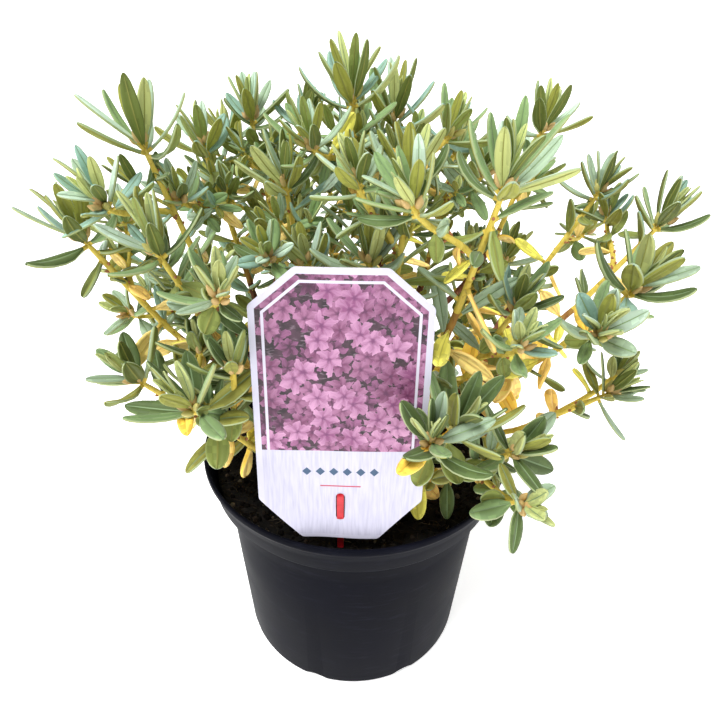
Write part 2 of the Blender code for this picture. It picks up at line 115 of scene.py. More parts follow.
# Soil
SOIL_LEVEL = 0.1360
SOIL_DIP = 0.0020
SOIL_RINGS = 70
SOIL_STEPS = 220
SOIL_GAP = 0.0004
SOIL_AXIS_GAP = (0.0003, 0.0010)
SOIL_EDGE = COLLAR_RADIUS - POT_WALL - SOIL_GAP
SOIL_LUMPS = 0.0028
SOIL_GRAIN = 0.0016
SOIL_SETTLED = 0.0012
CRUMBS = 2000
CRUMB_SIZES = (0.0005, 0.0007, 0.0009, 0.0013, 0.0018)
CRUMB_STATIONS = ((-0.9, 0.45), (-0.35, 0.95), (0.35, 0.95), (0.9, 0.4))
CRUMB_SIDES = 6
CRUMB_TINTS = {
    "black": ("0E0B09", 0.95),
    "dark": ("1C150F", 0.95),
    "brown": ("2E2721", 0.95),
    "tan": ("5A5043", 0.90),
}
CRUMB_WEIGHTS = (6, 5, 3, 0.9)
FIBRES = 1200
FIBRE_LENGTH = (0.003, 0.011)
FIBRE_RADIUS = (0.00012, 0.00030)
FIBRE_BEND = 0.5
FIBRE_LIFT = (-0.0004, 0.0012)
FIBRE_TAPER = (0.5, 1, 1, 0.9, 0.4)
FIBRE_SIDES = 4
FIBRE_WEIGHTS = (2, 4, 4, 1.6)

# Label card
CARD_WIDTH = 0.0816
CARD_HEIGHT = 0.1437
CARD_THICK = 0.0006
CARD_TOP_CUT = (0.0206, 0.0178)
CARD_BOTTOM_CUT = (0.0214, 0.0241)
CARD_ROUNDING = 0.0014
CARD_FOOT = Vector((-0.0070, -0.0844, 0.1469))
CARD_LEAN = 5.9
CARD_TURN = Matrix.Rotation(math.radians(90 - CARD_LEAN), 3, "X")
CARD_GRID = 0.004
CARD_BOW = 0.0022
CARD_RIPPLE = 0.0006
CARD_CLEAR_WIDTH = (-0.040, 0.020)
CARD_CLEAR_HEIGHT = (0.052, 0.150)
SLOT_HEIGHT_UP = 0.0200
SLOT_SIZE = (0.0044, 0.0165)
SLOT_STEPS = 10

# Print on the card's face
PRINT_MARGIN = 0.0030
PRINT_LINE = (0.0056, 0.0069)
PRINT_FOOT = 0.0022
PANEL_TOP = 0.0532
BEAD_HEIGHT = 0.0412
BEAD_STEP = 0.0066
BEAD_SIZE = 0.0023
RULE_HEIGHT = 0.0327
RULE_HALF = (0.0100, 0.0004)
# Each layer of blossoms: the cell that one takes, where the pattern starts, the share covered and three tints
BLOSSOM_LAYERS = [
    (0.0092, (3.1, 7.7), 0.92, "451A38", "965A84", "30142A"),
    (0.0104, (9.4, 2.3), 0.74, "6C3258", "A87296", "502046"),
    (0.0118, (5.8, 4.9), 0.50, "844672", "C692B6", "642A5A"),
]

# Trunk and boughs
TRUNK_TOP = Vector((-0.003, 0.004, 0.182))
TRUNK_FOOT_RADIUS = 0.0120
TRUNK_WAIST_RADIUS = 0.0078
TRUNK_TOP_RADIUS = 0.0055
TRUNK_FLARE_HEIGHT = 0.0100
TRUNK_SUNK = 0.0040
TRUNK_RELIEF = 0.0009
TRUNK_BEND = 0.0023
TRUNK_RINGS = (16, 24)
MAIN_RADIUS = (0.0026, 0.0016)
SIDE_RADIUS = (0.0021, 0.0015)
TRUNK_FORK_ANGLE = 66
BOUGH_FORK_ANGLE = 48
BOUGH_POINTS = 60
BOUGH_STUB = 0.0020
BOUGH_SWEEP = 0.38
BOUGH_RELIEF = 0.00028
TRUNK_SIDES = 28
BOUGH_SIDES = 14
BARK_TINTS = {
    "bark_old": ("35201A", "5E3B2C", "8A6450"),
    "bark_brown": ("5A3324", "84543A", "A67B58"),
    "bark_turning": ("8C5F30", "B18A44", "6B3F28"),
    "bark_young": ("CBB044", "DEC75C", "9A7436"),
}
# How far from a bough's tip each bark reaches down it, and how far that strays
BARK_REACHES = {"bark_young": 0.022, "bark_turning": 0.038, "bark_brown": 0.075}
BARK_STRAY = 0.004

# Each row: the limb it leaves and how far along it, the azimuth in degrees (0 front, 90 right), reach
# and height of its leading shoot in millimetres, its number of shoots, for its side shoots the azimuth
# of the first and how far they spread from the leader, and the length of its longest leaves in millimetres
BOUGHS = {
    "top": ("trunk", 1.00, -174, 47, 341, 2, -30, 75, 31),
    "left_high": ("trunk", 0.58, -88, 105, 324, 2, -25, 65, 38),
    "front_left_low": ("trunk", 0.32, -42, 110, 225, 2, 125, 35, 35),
    "left_back_high": ("trunk", 0.34, -118, 101, 314, 3, -155, 75, 29),
    "front": ("trunk", 0.82, 29, 45, 317, 2, -75, 35, 32),
    "right_front": ("trunk", 0.58, 45, 83, 321, 2, -80, 60, 38),
    "right": ("trunk", 0.33, 96, 167, 284, 2, -165, 60, 30),
    "front_right_low": ("trunk", 0.34, 31, 91, 212, 2, -50, 24, 35),
    "back": ("trunk", 0.32, 176, 128, 288, 3, 100, 62, 32),
    "right_back": ("trunk", 0.60, 146, 108, 306, 3, 20, 62, 32),
    "left": ("left_high", 0.45, -76, 135, 288, 2, 180, 65, 33),
    "left_front": ("left_high", 0.30, -61, 103, 288, 2, 45, 66, 32),
    "left_low": ("front_left_low", 0.42, -64, 122, 222, 2, 105, 55, 30),
    "back_left_high": ("left_back_high", 0.62, -136, 92, 327, 3, 85, 50, 29),
    "back_left": ("left_back_high", 0.40, -152, 125, 285, 3, 165, 62, 30),
    "back_left_low": ("left_back_high", 0.20, -112, 135, 240, 3, 175, 62, 31),
    "top_right": ("top", 0.38, 161, 58, 330, 3, 80, 50, 32),
    "inner_left": ("top", 0.20, -100, 39, 305, 2, -12, 80, 30),
    "front_middle": ("front", 0.35, 8, 38, 280, 2, -105, 50, 30),
    "right_middle": ("right_front", 0.30, 60, 88, 260, 2, 0, 40, 29),
    "right_back_high": ("right_back", 0.50, 127, 141, 322, 2, 150, 75, 31),
    "right_back_low": ("right_back", 0.22, 130, 132, 235, 3, 170, 62, 31),
    "right_far": ("right", 0.50, 111, 154, 291, 2, 140, 70, 29),
    "right_near": ("right", 0.34, 78, 141, 265, 2, -30, 70, 33),
    "right_low": ("right", 0.20, 70, 138, 214, 2, 160, 20, 25),
    "front_corner_low": ("front_right_low", 0.35, 46, 108, 198, 2, 20, 38, 27),
    "back_low": ("back", 0.25, -170, 118, 228, 3, 150, 62, 31),
}

# Shoots
STEM_LENGTH = 0.010
LEADER_LENGTH = 0.030
SIDE_SHOOT_LENGTH = 0.038
SIDE_SHOOT_TURN = 140
SIDE_SHOOT_RISE = 0.35
SIDE_SHOOT_ROOT = 0.001
ROSETTE_DEPTH = 0.010
LEAN_MOST = 54
LEAN_REACH = 0.135
LEAN_CAP = 1.15
LEAN_TOP = 0.360
LEAN_LOW = 0.190
LEAN_EASE = 0.72
SHOOT_RADIUS = (0.0016, 0.0013)
SHOOT_RELIEF = 0.00014
SPUR_LENGTH = (0.012, 0.018)
SPUR_TIP = 0.004
SPUR_ROSETTE_DEPTH = 0.003
SPUR_RADIUS = (0.0012, 0.0009, 0.0006)
SHOOT_TINTS = {
    "young": ("shoot_yellow", "CDB548", "E0CC64", "A8823E"),
    "fresh": ("shoot_green", "B5AE4C", "CFC766", "9C823E"),
}

# Leaves
ROSETTE_LEAVES = (9, 12)
CANDLE_LEAVES = 3
SPUR_LEAVES = 6
SPUR_SIZE = 0.66
SPUR_BREADTH = 0.75
SIDE_LEAF_SIZE = 0.78
LEAF_SHORTEST = 0.80
LEAF_WIDTH = (0.0106, 0.0079)
LEAF_ARCH = (-0.80, -0.10)
LEAF_ARCH_UPWARD = 0.8
LEAF_WIDE_BELOW = 0.195
LEAF_NARROW_ABOVE = 0.250
LEAF_SPLAY = (90, 14)
LEAF_DROOP = 70
LEAF_SPLAY_EASE = 0.72
LEAF_SPLAY_DRAW = 8
LEAF_RISE = 0.007
LEAF_LIFT = 0.7
YELLOW_SHARE = 0.8
PETIOLE_SHARE = 0.1
PETIOLE_DEPTH = 1.3
FITTING_ROUNDS = 4
LEAF_BREADTHS = {"right_low": 0.62, "right_near": 1.35}
LEAF_LENGTHS = {"top": 1.2, "top_right": 1.15, "front_right_low": 1.2, "front_corner_low": 1.15}

# Buds: one at a shoot's tip, a ring of others round it, and scars down the shoot
TIP_BUD_SIZE = (0.0075, 0.0036)
RING_BUDS = 5
RING_SPREAD = 0.0020
RING_BUD_LENGTHS = (0.0052, 0.0074)
RING_BUD_WIDTHS = (0.0030, 0.0038)
SHOOT_SCARS = 5
SCAR_LENGTHS = (0.0016, 0.0034)
SCAR_WIDTH = 0.0016
# Along a bud: how far, and its half width, as shares of its length and width
BUD_PROFILE = ((0, 0.28), (0.12, 0.42), (0.35, 0.50), (0.60, 0.42), (0.82, 0.26), (0.95, 0.11), (1, 0.03))
BUD_SIDES = 8
# Each kind's finish: its name, tint, roughness and shine
BUD_TINTS = {
    "bud": ("bud_tan", "CFAE74", 0.5, 0.4),
    "bud_green": ("bud_green", "C2B86C", 0.5, 0.4),
    "scar": ("bud_scar", "A9714A", 0.7, 0.3),
}

# How a mass is filled. On each shoot: its spurs, single leaves and blunt hanging leaves. Along its bough:
# the number of leaves, how far along they start, and the share of them that has turned yellow.
SPRAYS = {
    "full": (3, 7, 1, 24, 0.38, 0.26),
    "open": (1, 3, 2, 8, 0.35, 0.45),
    "bare": (0, 3, 2, 16, 0.15, 0.80),
    "sparse": (0, 3, 0, 4, 0.35, 0.90),
}
# The masses that aren't full
THIN_SPRAYS = {
    "open": "left_high left left_front left_low front_left_low front_corner_low right_back_high",
    "bare": "right_front right right_middle right_far right_near front_right_low",
    "sparse": "right_low",
}
# The one leaf that has turned yellow over the label: its mass, its shoot and its place in the rosette
TURNED_LEAF = ("front_right_low", 1, 2)
LOW_MASS = 235
# Masses at least this high get their leaves dealt lighter shades as painted light; lower masses get darker
# shades as painted shade
HIGH_MASS = 300
MASS_ROOM = 0.008
PIECE_TRIANGLES = 180000

# Cross-section of a leaf in half widths, from its groove round its rolled right edge to the rib below,
# then back round the left: the faces' finishes run along with it
LEAF_HALF_SECTION = [
    (0.07, 0.09),
    (0.38, 0.19),
    (0.72, 0.17),
    (0.95, 0.00),
    (0.96, -0.20),
    (0.80, -0.31),
    (0.42, -0.08),
    (0.08, -0.03),
]
LEAF_GROOVE = (0, 0.02)
LEAF_RIB = (0, -0.14)
# Along a leaf: how far, its half width and its thickness, as shares
LEAF_STATIONS = [
    (0.00, 0.16, 0.80),
    (0.10, 0.16, 0.80),
    (0.20, 0.44, 0.90),
    (0.33, 0.81, 1.00),
    (0.48, 0.98, 1.00),
    (0.65, 0.97, 1.00),
    (0.80, 0.83, 1.00),
    (0.91, 0.60, 0.90),
    (0.97, 0.36, 0.75),
    (1.00, 0.13, 0.50),
]


def bearing(azimuth):
    """The level direction at an azimuth in degrees, 0 to the front and 90 to the right."""
    angle = math.radians(azimuth)
    return Vector((math.sin(angle), -math.cos(angle), 0))


def colour(code):
    """A linear colour from its sRGB hex code."""
    shares = [int(code[i : i + 2], 16) / 255 for i in (0, 2, 4)]
    linear = [s / 12.92 if s <= 0.04045 else ((s + 0.055) / 1.055) ** 2.4 for s in shares]
    return (*linear, 1)


def mix(a, b, share):
    return a + (b - a) * share


def square_to(axis, turn):
    """A direction square to an axis, at a turn about it."""
    across = axis.orthogonal().normalized()
    return across * math.cos(turn) + axis.cross(across) * math.sin(turn)


def squared(way, axis):
    """A direction made square to an axis."""
    return (way - axis * way.dot(axis)).normalized()


def tilted(axis, out, angle):
    """A direction at an angle from an axis, towards another that is square to it."""
    return axis * math.cos(angle) + out * math.sin(angle)


def even_angles(steps):
    return [math.tau * i / steps for i in range(steps)]


# Materials


def feed(tree, slot, value):
    """Links a socket or a Value to an input, or sets the input to a plain value."""
    value = getattr(value, "socket", value)
    if isinstance(value, bpy.types.NodeSocket):
        tree.links.new(value, slot)
    else:
        slot.default_value = value


def math_node(kind):
    """A method of Value that adds one kind of Math node."""
    return lambda self, *others: self.math(kind, *others)


class Value:
    """A number in a node tree, on which arithmetic adds Math nodes."""

    def __init__(self, tree, socket):
        self.tree = tree
        self.socket = socket

    def math(self, kind, *others):
        node = self.tree.nodes.new("ShaderNodeMath")
        node.operation = kind
        for slot, value in zip(node.inputs, (self, *others)):
            feed(self.tree, slot, value)
        return Value(self.tree, node.outputs[0])

    def ramp(self, low, high):
        """0 at low, 1 at high, and even between them."""
        node = self.tree.nodes.new("ShaderNodeMapRange")
        for name, value in (("Value", self), ("From Min", low), ("From Max", high)):
            feed(self.tree, node.inputs[name], value)
        return Value(self.tree, node.outputs["Result"])

    __add__ = math_node("ADD")
    __sub__ = math_node("SUBTRACT")
    __mul__ = math_node("MULTIPLY")
    above = math_node("GREATER_THAN")
    below = math_node("LESS_THAN")
    cosine = math_node("COSINE")
    size = math_node("ABSOLUTE")
    least = math_node("MINIMUM")
    most = math_node("MAXIMUM")


class Finish:
    """A finish: a Principled shader with helpers for the nodes that feed it."""

    def __init__(self, name, roughness=0.5, specular=0.5):
        self.material = bpy.data.materials.new(name)
        self.material.use_nodes = True
        self.tree = self.material.node_tree
        self.shader = self.tree.nodes["Principled BSDF"]
        self.set("Roughness", roughness)
        self.set("Specular IOR Level", specular)

    def set(self, name, value):
        """Feeds one of the shader's inputs."""
        feed(self.tree, self.shader.inputs[name], value)

    def node(self, kind, **inputs):
        made = self.tree.nodes.new("ShaderNode" + kind)
        for name, value in inputs.items():
            feed(self.tree, made.inputs[name], value)
        return made

    def vector(self, kind, *values):
        """The result of a Vector Math node."""
        node = self.node("VectorMath")
        node.operation = kind
        for slot, value in zip(node.inputs, values):
            feed(self.tree, slot, value)
        return node.outputs["Vector"]

    def own(self):
        """The piece's own coordinates."""
        return self.node("TexCoord").outputs["Object"]

    def noise(self, scale, stretch=(1, 1, 1), detail=4.0):
        place = self.node("Mapping", Vector=self.own(), Scale=stretch).outputs["Vector"]
        made = self.node("TexNoise", Vector=place, Scale=scale, Detail=detail)
        return Value(self.tree, made.outputs["Fac"])

    def parts(self, place):
        """A vector's X, Y and Z."""
        return [Value(self.tree, part) for part in self.node("SeparateXYZ", Vector=place).outputs]

    def blend(self, share, low, high):
        """A colour between two colours, each a hex code or a socket."""
        node = self.node("Mix")
        node.data_type = "RGBA"
        feed(self.tree, node.inputs["Factor"], share)
        for slot, value in ((node.inputs[6], low), (node.inputs[7], high)):
            feed(self.tree, slot, colour(value) if isinstance(value, str) else value)
        return node.outputs[2]

    def bump(self, value, depth, strength=1.0):
        made = self.node("Bump", Height=value, Distance=depth, Strength=strength)
        self.set("Normal", made.outputs["Normal"])


def plain(name, code, roughness, specular=0.5, sheen=0.0, strength=1.0):
    """A finish of one even colour, lighter or darker by its strength."""
    finish = Finish(name, roughness, specular)
    finish.set("Base Color", [share * strength for share in colour(code)[:3]] + [1])
    finish.set("Sheen Weight", sheen)
    return finish.material


def pot_finish():
    finish = Finish("pot_plastic", roughness=0.45, specular=0.02)
    scuffs = finish.noise(60, (1, 1, 6), 6).ramp(0.56, 0.78)
    clouds = finish.noise(14, (1, 1, 1.5)).ramp(0.3, 0.7)
    finish.set("Base Color", finish.blend(scuffs, finish.blend(clouds, "0A0B12", "0E0F18"), "171822"))
    finish.set("Roughness", clouds * 0.10 + 0.40)
    finish.bump(finish.noise(900, detail=2), 0.00008, 0.5)
    return finish.material


def soil_finish():
    finish = Finish("peat_ground", roughness=0.95, specular=0.25)
    clods = finish.noise(220, detail=8).ramp(0.36, 0.66)
    fibres = finish.noise(160, (1, 7, 1), 6).ramp(0.60, 0.72)
    finish.set("Base Color", finish.blend(fibres, finish.blend(clods, "070606", "181411"), "3A342C"))
    finish.bump(finish.noise(420, detail=8), 0.0008)
    return finish.material


def bark_finish(name, low, high, fleck, ridges=260.0):
    """Bark with lengthwise flakes."""
    finish = Finish(name, roughness=0.75, specular=0.3)
    flakes = finish.noise(ridges, (1, 1, 0.28), 6).ramp(0.35, 0.68)
    spots = finish.noise(ridges * 2.2, (1, 1, 0.6), 3).ramp(0.62, 0.74)
    finish.set("Base Color", finish.blend(spots, finish.blend(flakes, low, high), fleck))
    finish.bump(finish.noise(ridges * 1.4, (1, 1, 0.35), 7), 0.0005)
    return finish.material


def clouded_finish(name, roughness, scale, low, high):
    """An even finish with faint clouds."""
    finish = Finish(name, roughness)
    finish.set("Base Color", finish.blend(finish.noise(scale).ramp(0.3, 0.7), low, high))
    return finish.material


def blossom_layer(finish, under, cell, shift, cover, dark, light, throat):
    """Five-petalled blossoms printed over a colour, in clusters that cover a share of it."""
    tree = finish.tree
    place = finish.node("Mapping", Vector=finish.own(), Scale=[1 / cell] * 3, Location=(*shift, 0))
    place = place.outputs["Vector"]
    ruffle = finish.node("TexNoise", Vector=place, Scale=2.2, Detail=4.0).outputs["Color"]
    warped = finish.vector("MULTIPLY_ADD", ruffle, [0.42] * 3, place)
    cells = finish.node("TexVoronoi", Vector=warped, Scale=1.0, Randomness=0.85)
    cells.voronoi_dimensions = "2D"
    offset = finish.vector("SUBTRACT", warped, cells.outputs["Position"])
    across, up, _ = finish.parts(offset)
    draws = finish.node("SeparateColor", Color=cells.outputs["Color"]).outputs
    first, second = Value(tree, draws["Red"]), Value(tree, draws["Green"])
    cluster = finish.node("TexNoise", Vector=cells.outputs["Position"], Scale=0.42, Detail=1.0)
    shown = Value(tree, cluster.outputs["Fac"]).above(0.5 + 0.42 * (0.5 - cover))
    angle = up.math("ARCTAN2", across) + first * math.tau
    reach = Value(tree, cells.outputs["Distance"])
    petals = (angle * 5).cosine()
    edge = petals * 0.13 + (angle * 15 + second * 9).cosine() * 0.035 + 0.47
    inside = (edge - reach).ramp(0, 0.03) * shown
    shade = Value(tree, finish.node("TexNoise", Vector=place, Scale=0.55).outputs["Fac"])
    lit = (petals * 0.20 + 0.06) + (reach * 0.75) - (first * 0.30) + (shade.ramp(0.35, 0.65) * 0.55)
    veins = (angle * 21 + reach * 9).cosine().above(0.80) * 0.14
    lip = (edge - reach).ramp(0.10, 0.02) * 0.22
    body = finish.blend((lit - veins + lip).ramp(0, 1), dark, light)
    body = finish.blend(reach.ramp(0.15, 0.04) * 0.8, body, throat)
    return finish.blend(inside, under, body)


def edge_inset(across, up):
    """How far inside the card's sides, top and top corners a place on it lies."""
    half = CARD_WIDTH / 2
    slope = math.hypot(*CARD_TOP_CUT)
    level = CARD_TOP_CUT[1] / slope
    steep = CARD_TOP_CUT[0] / slope
    corner = half * level + CARD_HEIGHT * steep - CARD_TOP_CUT[0] * level
    cut = (across * -level) - (up * steep) + corner
    return ((across * -1) + half).least((up * -1) + CARD_HEIGHT).least(cut)


def card_face_finish():
    """The label's face: a white margin, a mauve blossom print with a thin line round it, a pale panel."""
    finish = Finish("card_face", roughness=0.38)
    across, up, _ = finish.parts(finish.own())
    across = across.size()
    inset = edge_inset(across, up)

    ground = finish.blend(finish.noise(170, detail=6).ramp(0.38, 0.62), "1C0F18", "45293A")
    picture = finish.blend(finish.noise(210, (1, 3.5, 1), 5).ramp(0.57, 0.66), ground, "6E5C68")
    for row in BLOSSOM_LAYERS:
        picture = blossom_layer(finish, picture, *row)
    line = inset.above(PRINT_LINE[0]) * inset.below(PRINT_LINE[1])
    printed = finish.blend(line, picture, "CECADA")

    panel = finish.blend(finish.noise(150, (6, 0.5, 1), 5).ramp(0.40, 0.68), "C6C4D7", "B5B3C8")
    beads = ((across * (1 / BEAD_STEP)).math("FRACT") - 0.5).size() * BEAD_STEP + (up - BEAD_HEIGHT).size()
    panel = finish.blend(beads.below(BEAD_SIZE) * across.below(3 * BEAD_STEP), panel, "35506E")
    rule = (up - RULE_HEIGHT).size().below(RULE_HALF[1]) * across.below(RULE_HALF[0])
    panel = finish.blend(rule, panel, "B4485A")
    printed = finish.blend(up.below(PANEL_TOP), printed, panel)
    margin = inset.below(PRINT_MARGIN).most(up.below(PRINT_FOOT))
    finish.set("Base Color", finish.blend(margin, printed, "CAC8DA"))
    return finish.material


def deal(*ages):
    """A palette's tints for each age of leaf."""
    return [tuple(tints.split()) for tints in ages]


SHADES = ("", "_light", "_dark")
# The shades that a leaf's faces are dealt, by whether its mass is a high one: a random mottle, weighted
# towards the lighter shade on high masses as painted light and towards the darker shade on low ones as
# painted shade
MOTTLE_WITH_HEIGHT_PAINTED_LIGHT = {True: ("", "_light", "_light"), False: ("", "_dark", "_dark")}
LEAF_TINTS = {
    "sage": "9EB498",
    "silver": "B8CEB9",
    "blue": "8CAE9E",
    "green": "809B66",
    "deep": "566A3A",
    "fresh": "C0C984",
    "olive": "90903F",
}
UNDER_TINTS = {"under": "849048", "under_pale": "B0B672", "under_deep": "5E6A2C", "under_olive": "91933E"}
YELLOW_TINTS = {"gold": "F6CC52", "straw": "F8DB86", "amber": "F6CC70", "lime": "DDD65E"}
TRIM_TINTS = {"edge": "A3B080", "rib": "8E9046", "petiole": "D9C154", "groove": "879F74"}
HUNG_TINTS = ("olive", "deep", "green")

# The tints that a mass's leaves are dealt: outer, middle and inner ones, on low masses and on high ones
LOW_PALETTE = deal("green sage deep deep olive", "green sage deep deep", "fresh green olive deep")
HIGH_PALETTES = [
    deal("sage green deep blue", "sage blue green silver", "fresh sage olive"),
    deal("blue deep sage green", "silver blue sage green", "silver fresh olive"),
    deal("green sage deep", "green sage silver olive", "fresh olive green"),
]


def leaf_finishes():
    """Every leaf finish by name, in the order of the joined pieces' slots."""
    made = {}
    for name, code in {**LEAF_TINTS, **UNDER_TINTS, **YELLOW_TINTS}.items():
        # Each tint gets a lighter and a darker copy: dealt at random they mottle a leaf, and weighted by a
        # mass's height they are painted light and painted shade
        for shade, strength in zip(SHADES, (1.11, 1.30, 0.90)):
            made[name + shade] = plain("leaf_" + name + shade, code, 0.6, 0.3, 0.1, strength)
    for name, code in TRIM_TINTS.items():
        made[name] = plain("leaf_" + name, code, 0.6, 0.3, 0.1)
    return made


# Joined meshes


class Joined:
    """Four-sided faces gathered into one mesh, each with its finish."""

    def __init__(self, finishes):
        self.names = list(finishes)
        self.finishes = list(finishes.values())
        self.points = []
        self.faces = []
        self.slots = []
        self.count = 0

    def take(self, points, faces, names):
        """Adds points and faces, with one finish's name or one for each face."""
        slots = [self.names.index(n) for n in ([names] if isinstance(names, str) else names)]
        self.points.append(points)
        self.faces.append(faces + self.count)
        self.slots.append(np.resize(slots, len(faces)))
        self.count += len(points)

    def add_limb(self, path, radii, sides, names, relief=None):
        self.take(swept(path, radii, sides, relief), ring_faces(len(path), sides), names)

    def triangles(self):
        return 2 * sum(len(faces) for faces in self.faces)

    def build(self, name, smooth=True):
        points = np.concatenate(self.points)
        faces = np.concatenate(self.faces)
        mesh = bpy.data.meshes.new(name)
        mesh.vertices.add(len(points))
        mesh.vertices.foreach_set("co", points.astype(np.float32).ravel())
        mesh.loops.add(faces.size)
        mesh.loops.foreach_set("vertex_index", faces.astype(np.int32).ravel())
        mesh.polygons.add(len(faces))
        mesh.polygons.foreach_set("loop_start", np.arange(0, faces.size, 4, dtype=np.int32))
        mesh.polygons.foreach_set("material_index", np.concatenate(self.slots).astype(np.int32))
        mesh.polygons.foreach_set("use_smooth", np.full(len(faces), smooth))
        for finish in self.finishes:
            mesh.materials.append(finish)
        mesh.update(calc_edges=True)
        return link(name, mesh)


def link(name, data):
    made = bpy.data.objects.new(name, data)
    bpy.context.scene.collection.objects.link(made)
    return made


def applied(piece):
    """The mesh of a curve, or of a piece with its modifiers."""
    return bpy.data.meshes.new_from_object(piece.evaluated_get(bpy.context.evaluated_depsgraph_get()))


def apply_modifiers(piece):
    piece.data = applied(piece)
    piece.modifiers.clear()


def dress(piece, slot, *nodes):
    """A piece of the object: it rides on the body and stands for nodes, which it hides; its slot is not used.
    """
    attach(piece, "root")
    if nodes:
        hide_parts(*nodes)


def ring_faces(rings, sides, closed=True):
    """Faces between rings of points, each face turned outwards, with the ends closed by strips."""
    faces = []
    for i in range(rings - 1):
        for j in range(sides):
            k = (j + 1) % sides
            faces.append((i * sides + j, (i + 1) * sides + j, (i + 1) * sides + k, i * sides + k))
    if closed:
        last = (rings - 1) * sides
        for i in range(sides // 2 - 1):
            faces.append((i, i + 1, sides - 2 - i, sides - 1 - i))
            faces.append((last + sides - 1 - i, last + sides - 2 - i, last + i + 1, last + i))
    return np.array(faces)


def swept(path, radii, sides, relief=None):
    """Points of a limb: rings round a path, with the radius changed by relief(point)."""
    side = (path[1] - path[0]).orthogonal().normalized()
    points = []
    for i, centre in enumerate(path):
        along = (path[min(i + 1, len(path) - 1)] - path[max(i - 1, 0)]).normalized()
        side = squared(side, along)
        other = along.cross(side)
        for angle in even_angles(sides):
            out = tilted(side, other, -angle)
            radius = radii[i]
            if relief:
                radius += relief(centre + out * radius)
            points.append(centre + out * radius)
    return np.array(points)


# Pot and soil


def turned(profile, steps, wobble=0.0):
    """Rings about Z through a profile's points, each a radius and a height."""
    points = []
    for radius, height in profile:
        for angle in even_angles(steps):
            reach = radius * (1 + wobble * math.sin(2 * angle + 0.6) * height / POT_HEIGHT)
            points.append((math.cos(angle) * reach, math.sin(angle) * reach, height))
    return np.array(points)


def rounded(profile, radius, steps=4):
    """The profile with each inner corner rounded by a curve that starts a little way off it."""
    points = [Vector(profile[0])]
    for before, corner, after in zip(profile, profile[1:], profile[2:]):
        before, corner, after = Vector(before), Vector(corner), Vector(after)
        start = corner + (before - corner).normalized() * min(radius, (before - corner).length * 0.45)
        end = corner + (after - corner).normalized() * min(radius, (after - corner).length * 0.45)
        for i in range(steps + 1):
            t = i / steps
            points.append(start * (1 - t) ** 2 + corner * 2 * t * (1 - t) + end * t**2)
    points.append(Vector(profile[-1]))
    return [tuple(p) for p in points]


def pot_profile():
    """The pot's section: along its floor and up its inner side, over the rim and down the outer side."""
    inset = POT_WALL
    lip_foot = POT_HEIGHT - 2 * RIM_LIP
    inner = [
        (POT_AXIS_GAP, POT_FLOOR),
        (FOOT_RADIUS - inset, POT_FLOOR),
        (BODY_RADIUS - inset, COLLAR_FOOT),
        (COLLAR_RADIUS - inset, COLLAR_FOOT + COLLAR_SLOPE),
        (RIM_RADIUS - RIM_LIP - inset / 2, lip_foot),
        (RIM_RADIUS - RIM_LIP * 0.9, POT_HEIGHT - RIM_LIP / 6),
        (RIM_RADIUS - RIM_LIP / 2, POT_HEIGHT),
        (RIM_RADIUS - RIM_LIP * 0.1, POT_HEIGHT - RIM_LIP / 6),
        (RIM_RADIUS, lip_foot + RIM_LIP / 2),
        (RIM_RADIUS - RIM_LIP / 2, lip_foot - RIM_LIP / 4),
    ]
    outer = [(radius, COLLAR_FOOT + rise) for radius, rise in COLLAR_STEP]
    outer += [(FOOT_RADIUS, FOOT_CHAMFER), (FOOT_RADIUS - FOOT_CHAMFER, 0), (POT_AXIS_GAP, 0)]
    return rounded(inner + outer, POT_ROUNDING)


def drain_cutter():
    """Lying cylinders round the pot's foot, one for each drainage arch."""
    radius = (DRAIN_HALF_WIDTH**2 + DRAIN_HEIGHT**2) / (2 * DRAIN_HEIGHT)
    near, far = DRAIN_REACH
    size = {"radius1": radius, "radius2": radius, "depth": far - near, "segments": 48}
    shapes = bmesh.new()
    for i in range(DRAINS):
        out = bearing(DRAIN_AZIMUTH + i * 360 / DRAINS)
        middle = out * (near + far) / 2 + UP * (DRAIN_HEIGHT - radius)
        place = Matrix.Translation(middle) @ out.to_track_quat("Z", "Y").to_matrix().to_4x4()
        bmesh.ops.create_cone(shapes, cap_ends=True, matrix=place, **size)
    mesh = bpy.data.meshes.new("drains")
    shapes.to_mesh(mesh)
    shapes.free()
    return link("drains", mesh)


def build_pot():
    profile = pot_profile()
    pot = Joined({"pot": pot_finish()})
    faces = ring_faces(len(profile), POT_STEPS)[:, ::-1]
    pot.take(turned(profile, POT_STEPS, POT_WOBBLE), faces, "pot")
    shell = pot.build("pot_shell")
    cutter = drain_cutter()
    cut = shell.modifiers.new("Drains", "BOOLEAN")
    cut.operation = "DIFFERENCE"
    cut.object = cutter
    apply_modifiers(shell)
    bpy.data.objects.remove(cutter)
    shell.data.set_sharp_from_angle(angle=math.radians(40))
    dress(shell, "black_plastic", "pot")


def soil_height(x, y):
    """The ground's height: a little lower at the wall, with lumps and hollows."""
    place = Vector((x, y, 0))
    reach = math.hypot(x, y) / COLLAR_RADIUS
    lumps = noise.fractal(place * 45, 1.0, 2.1, 5) * SOIL_LUMPS
    fine = noise.turbulence(place * 210, 3, False) * SOIL_GRAIN
    return SOIL_LEVEL - SOIL_DIP * reach**3 + lumps + fine - SOIL_SETTLED


def scattered(share, draw):
    """A random place on the ground, within a share of its radius."""
    reach = SOIL_EDGE * math.sqrt(draw.random()) * share
    angle = draw.uniform(0, math.tau)
    return math.cos(angle) * reach, math.sin(angle) * reach


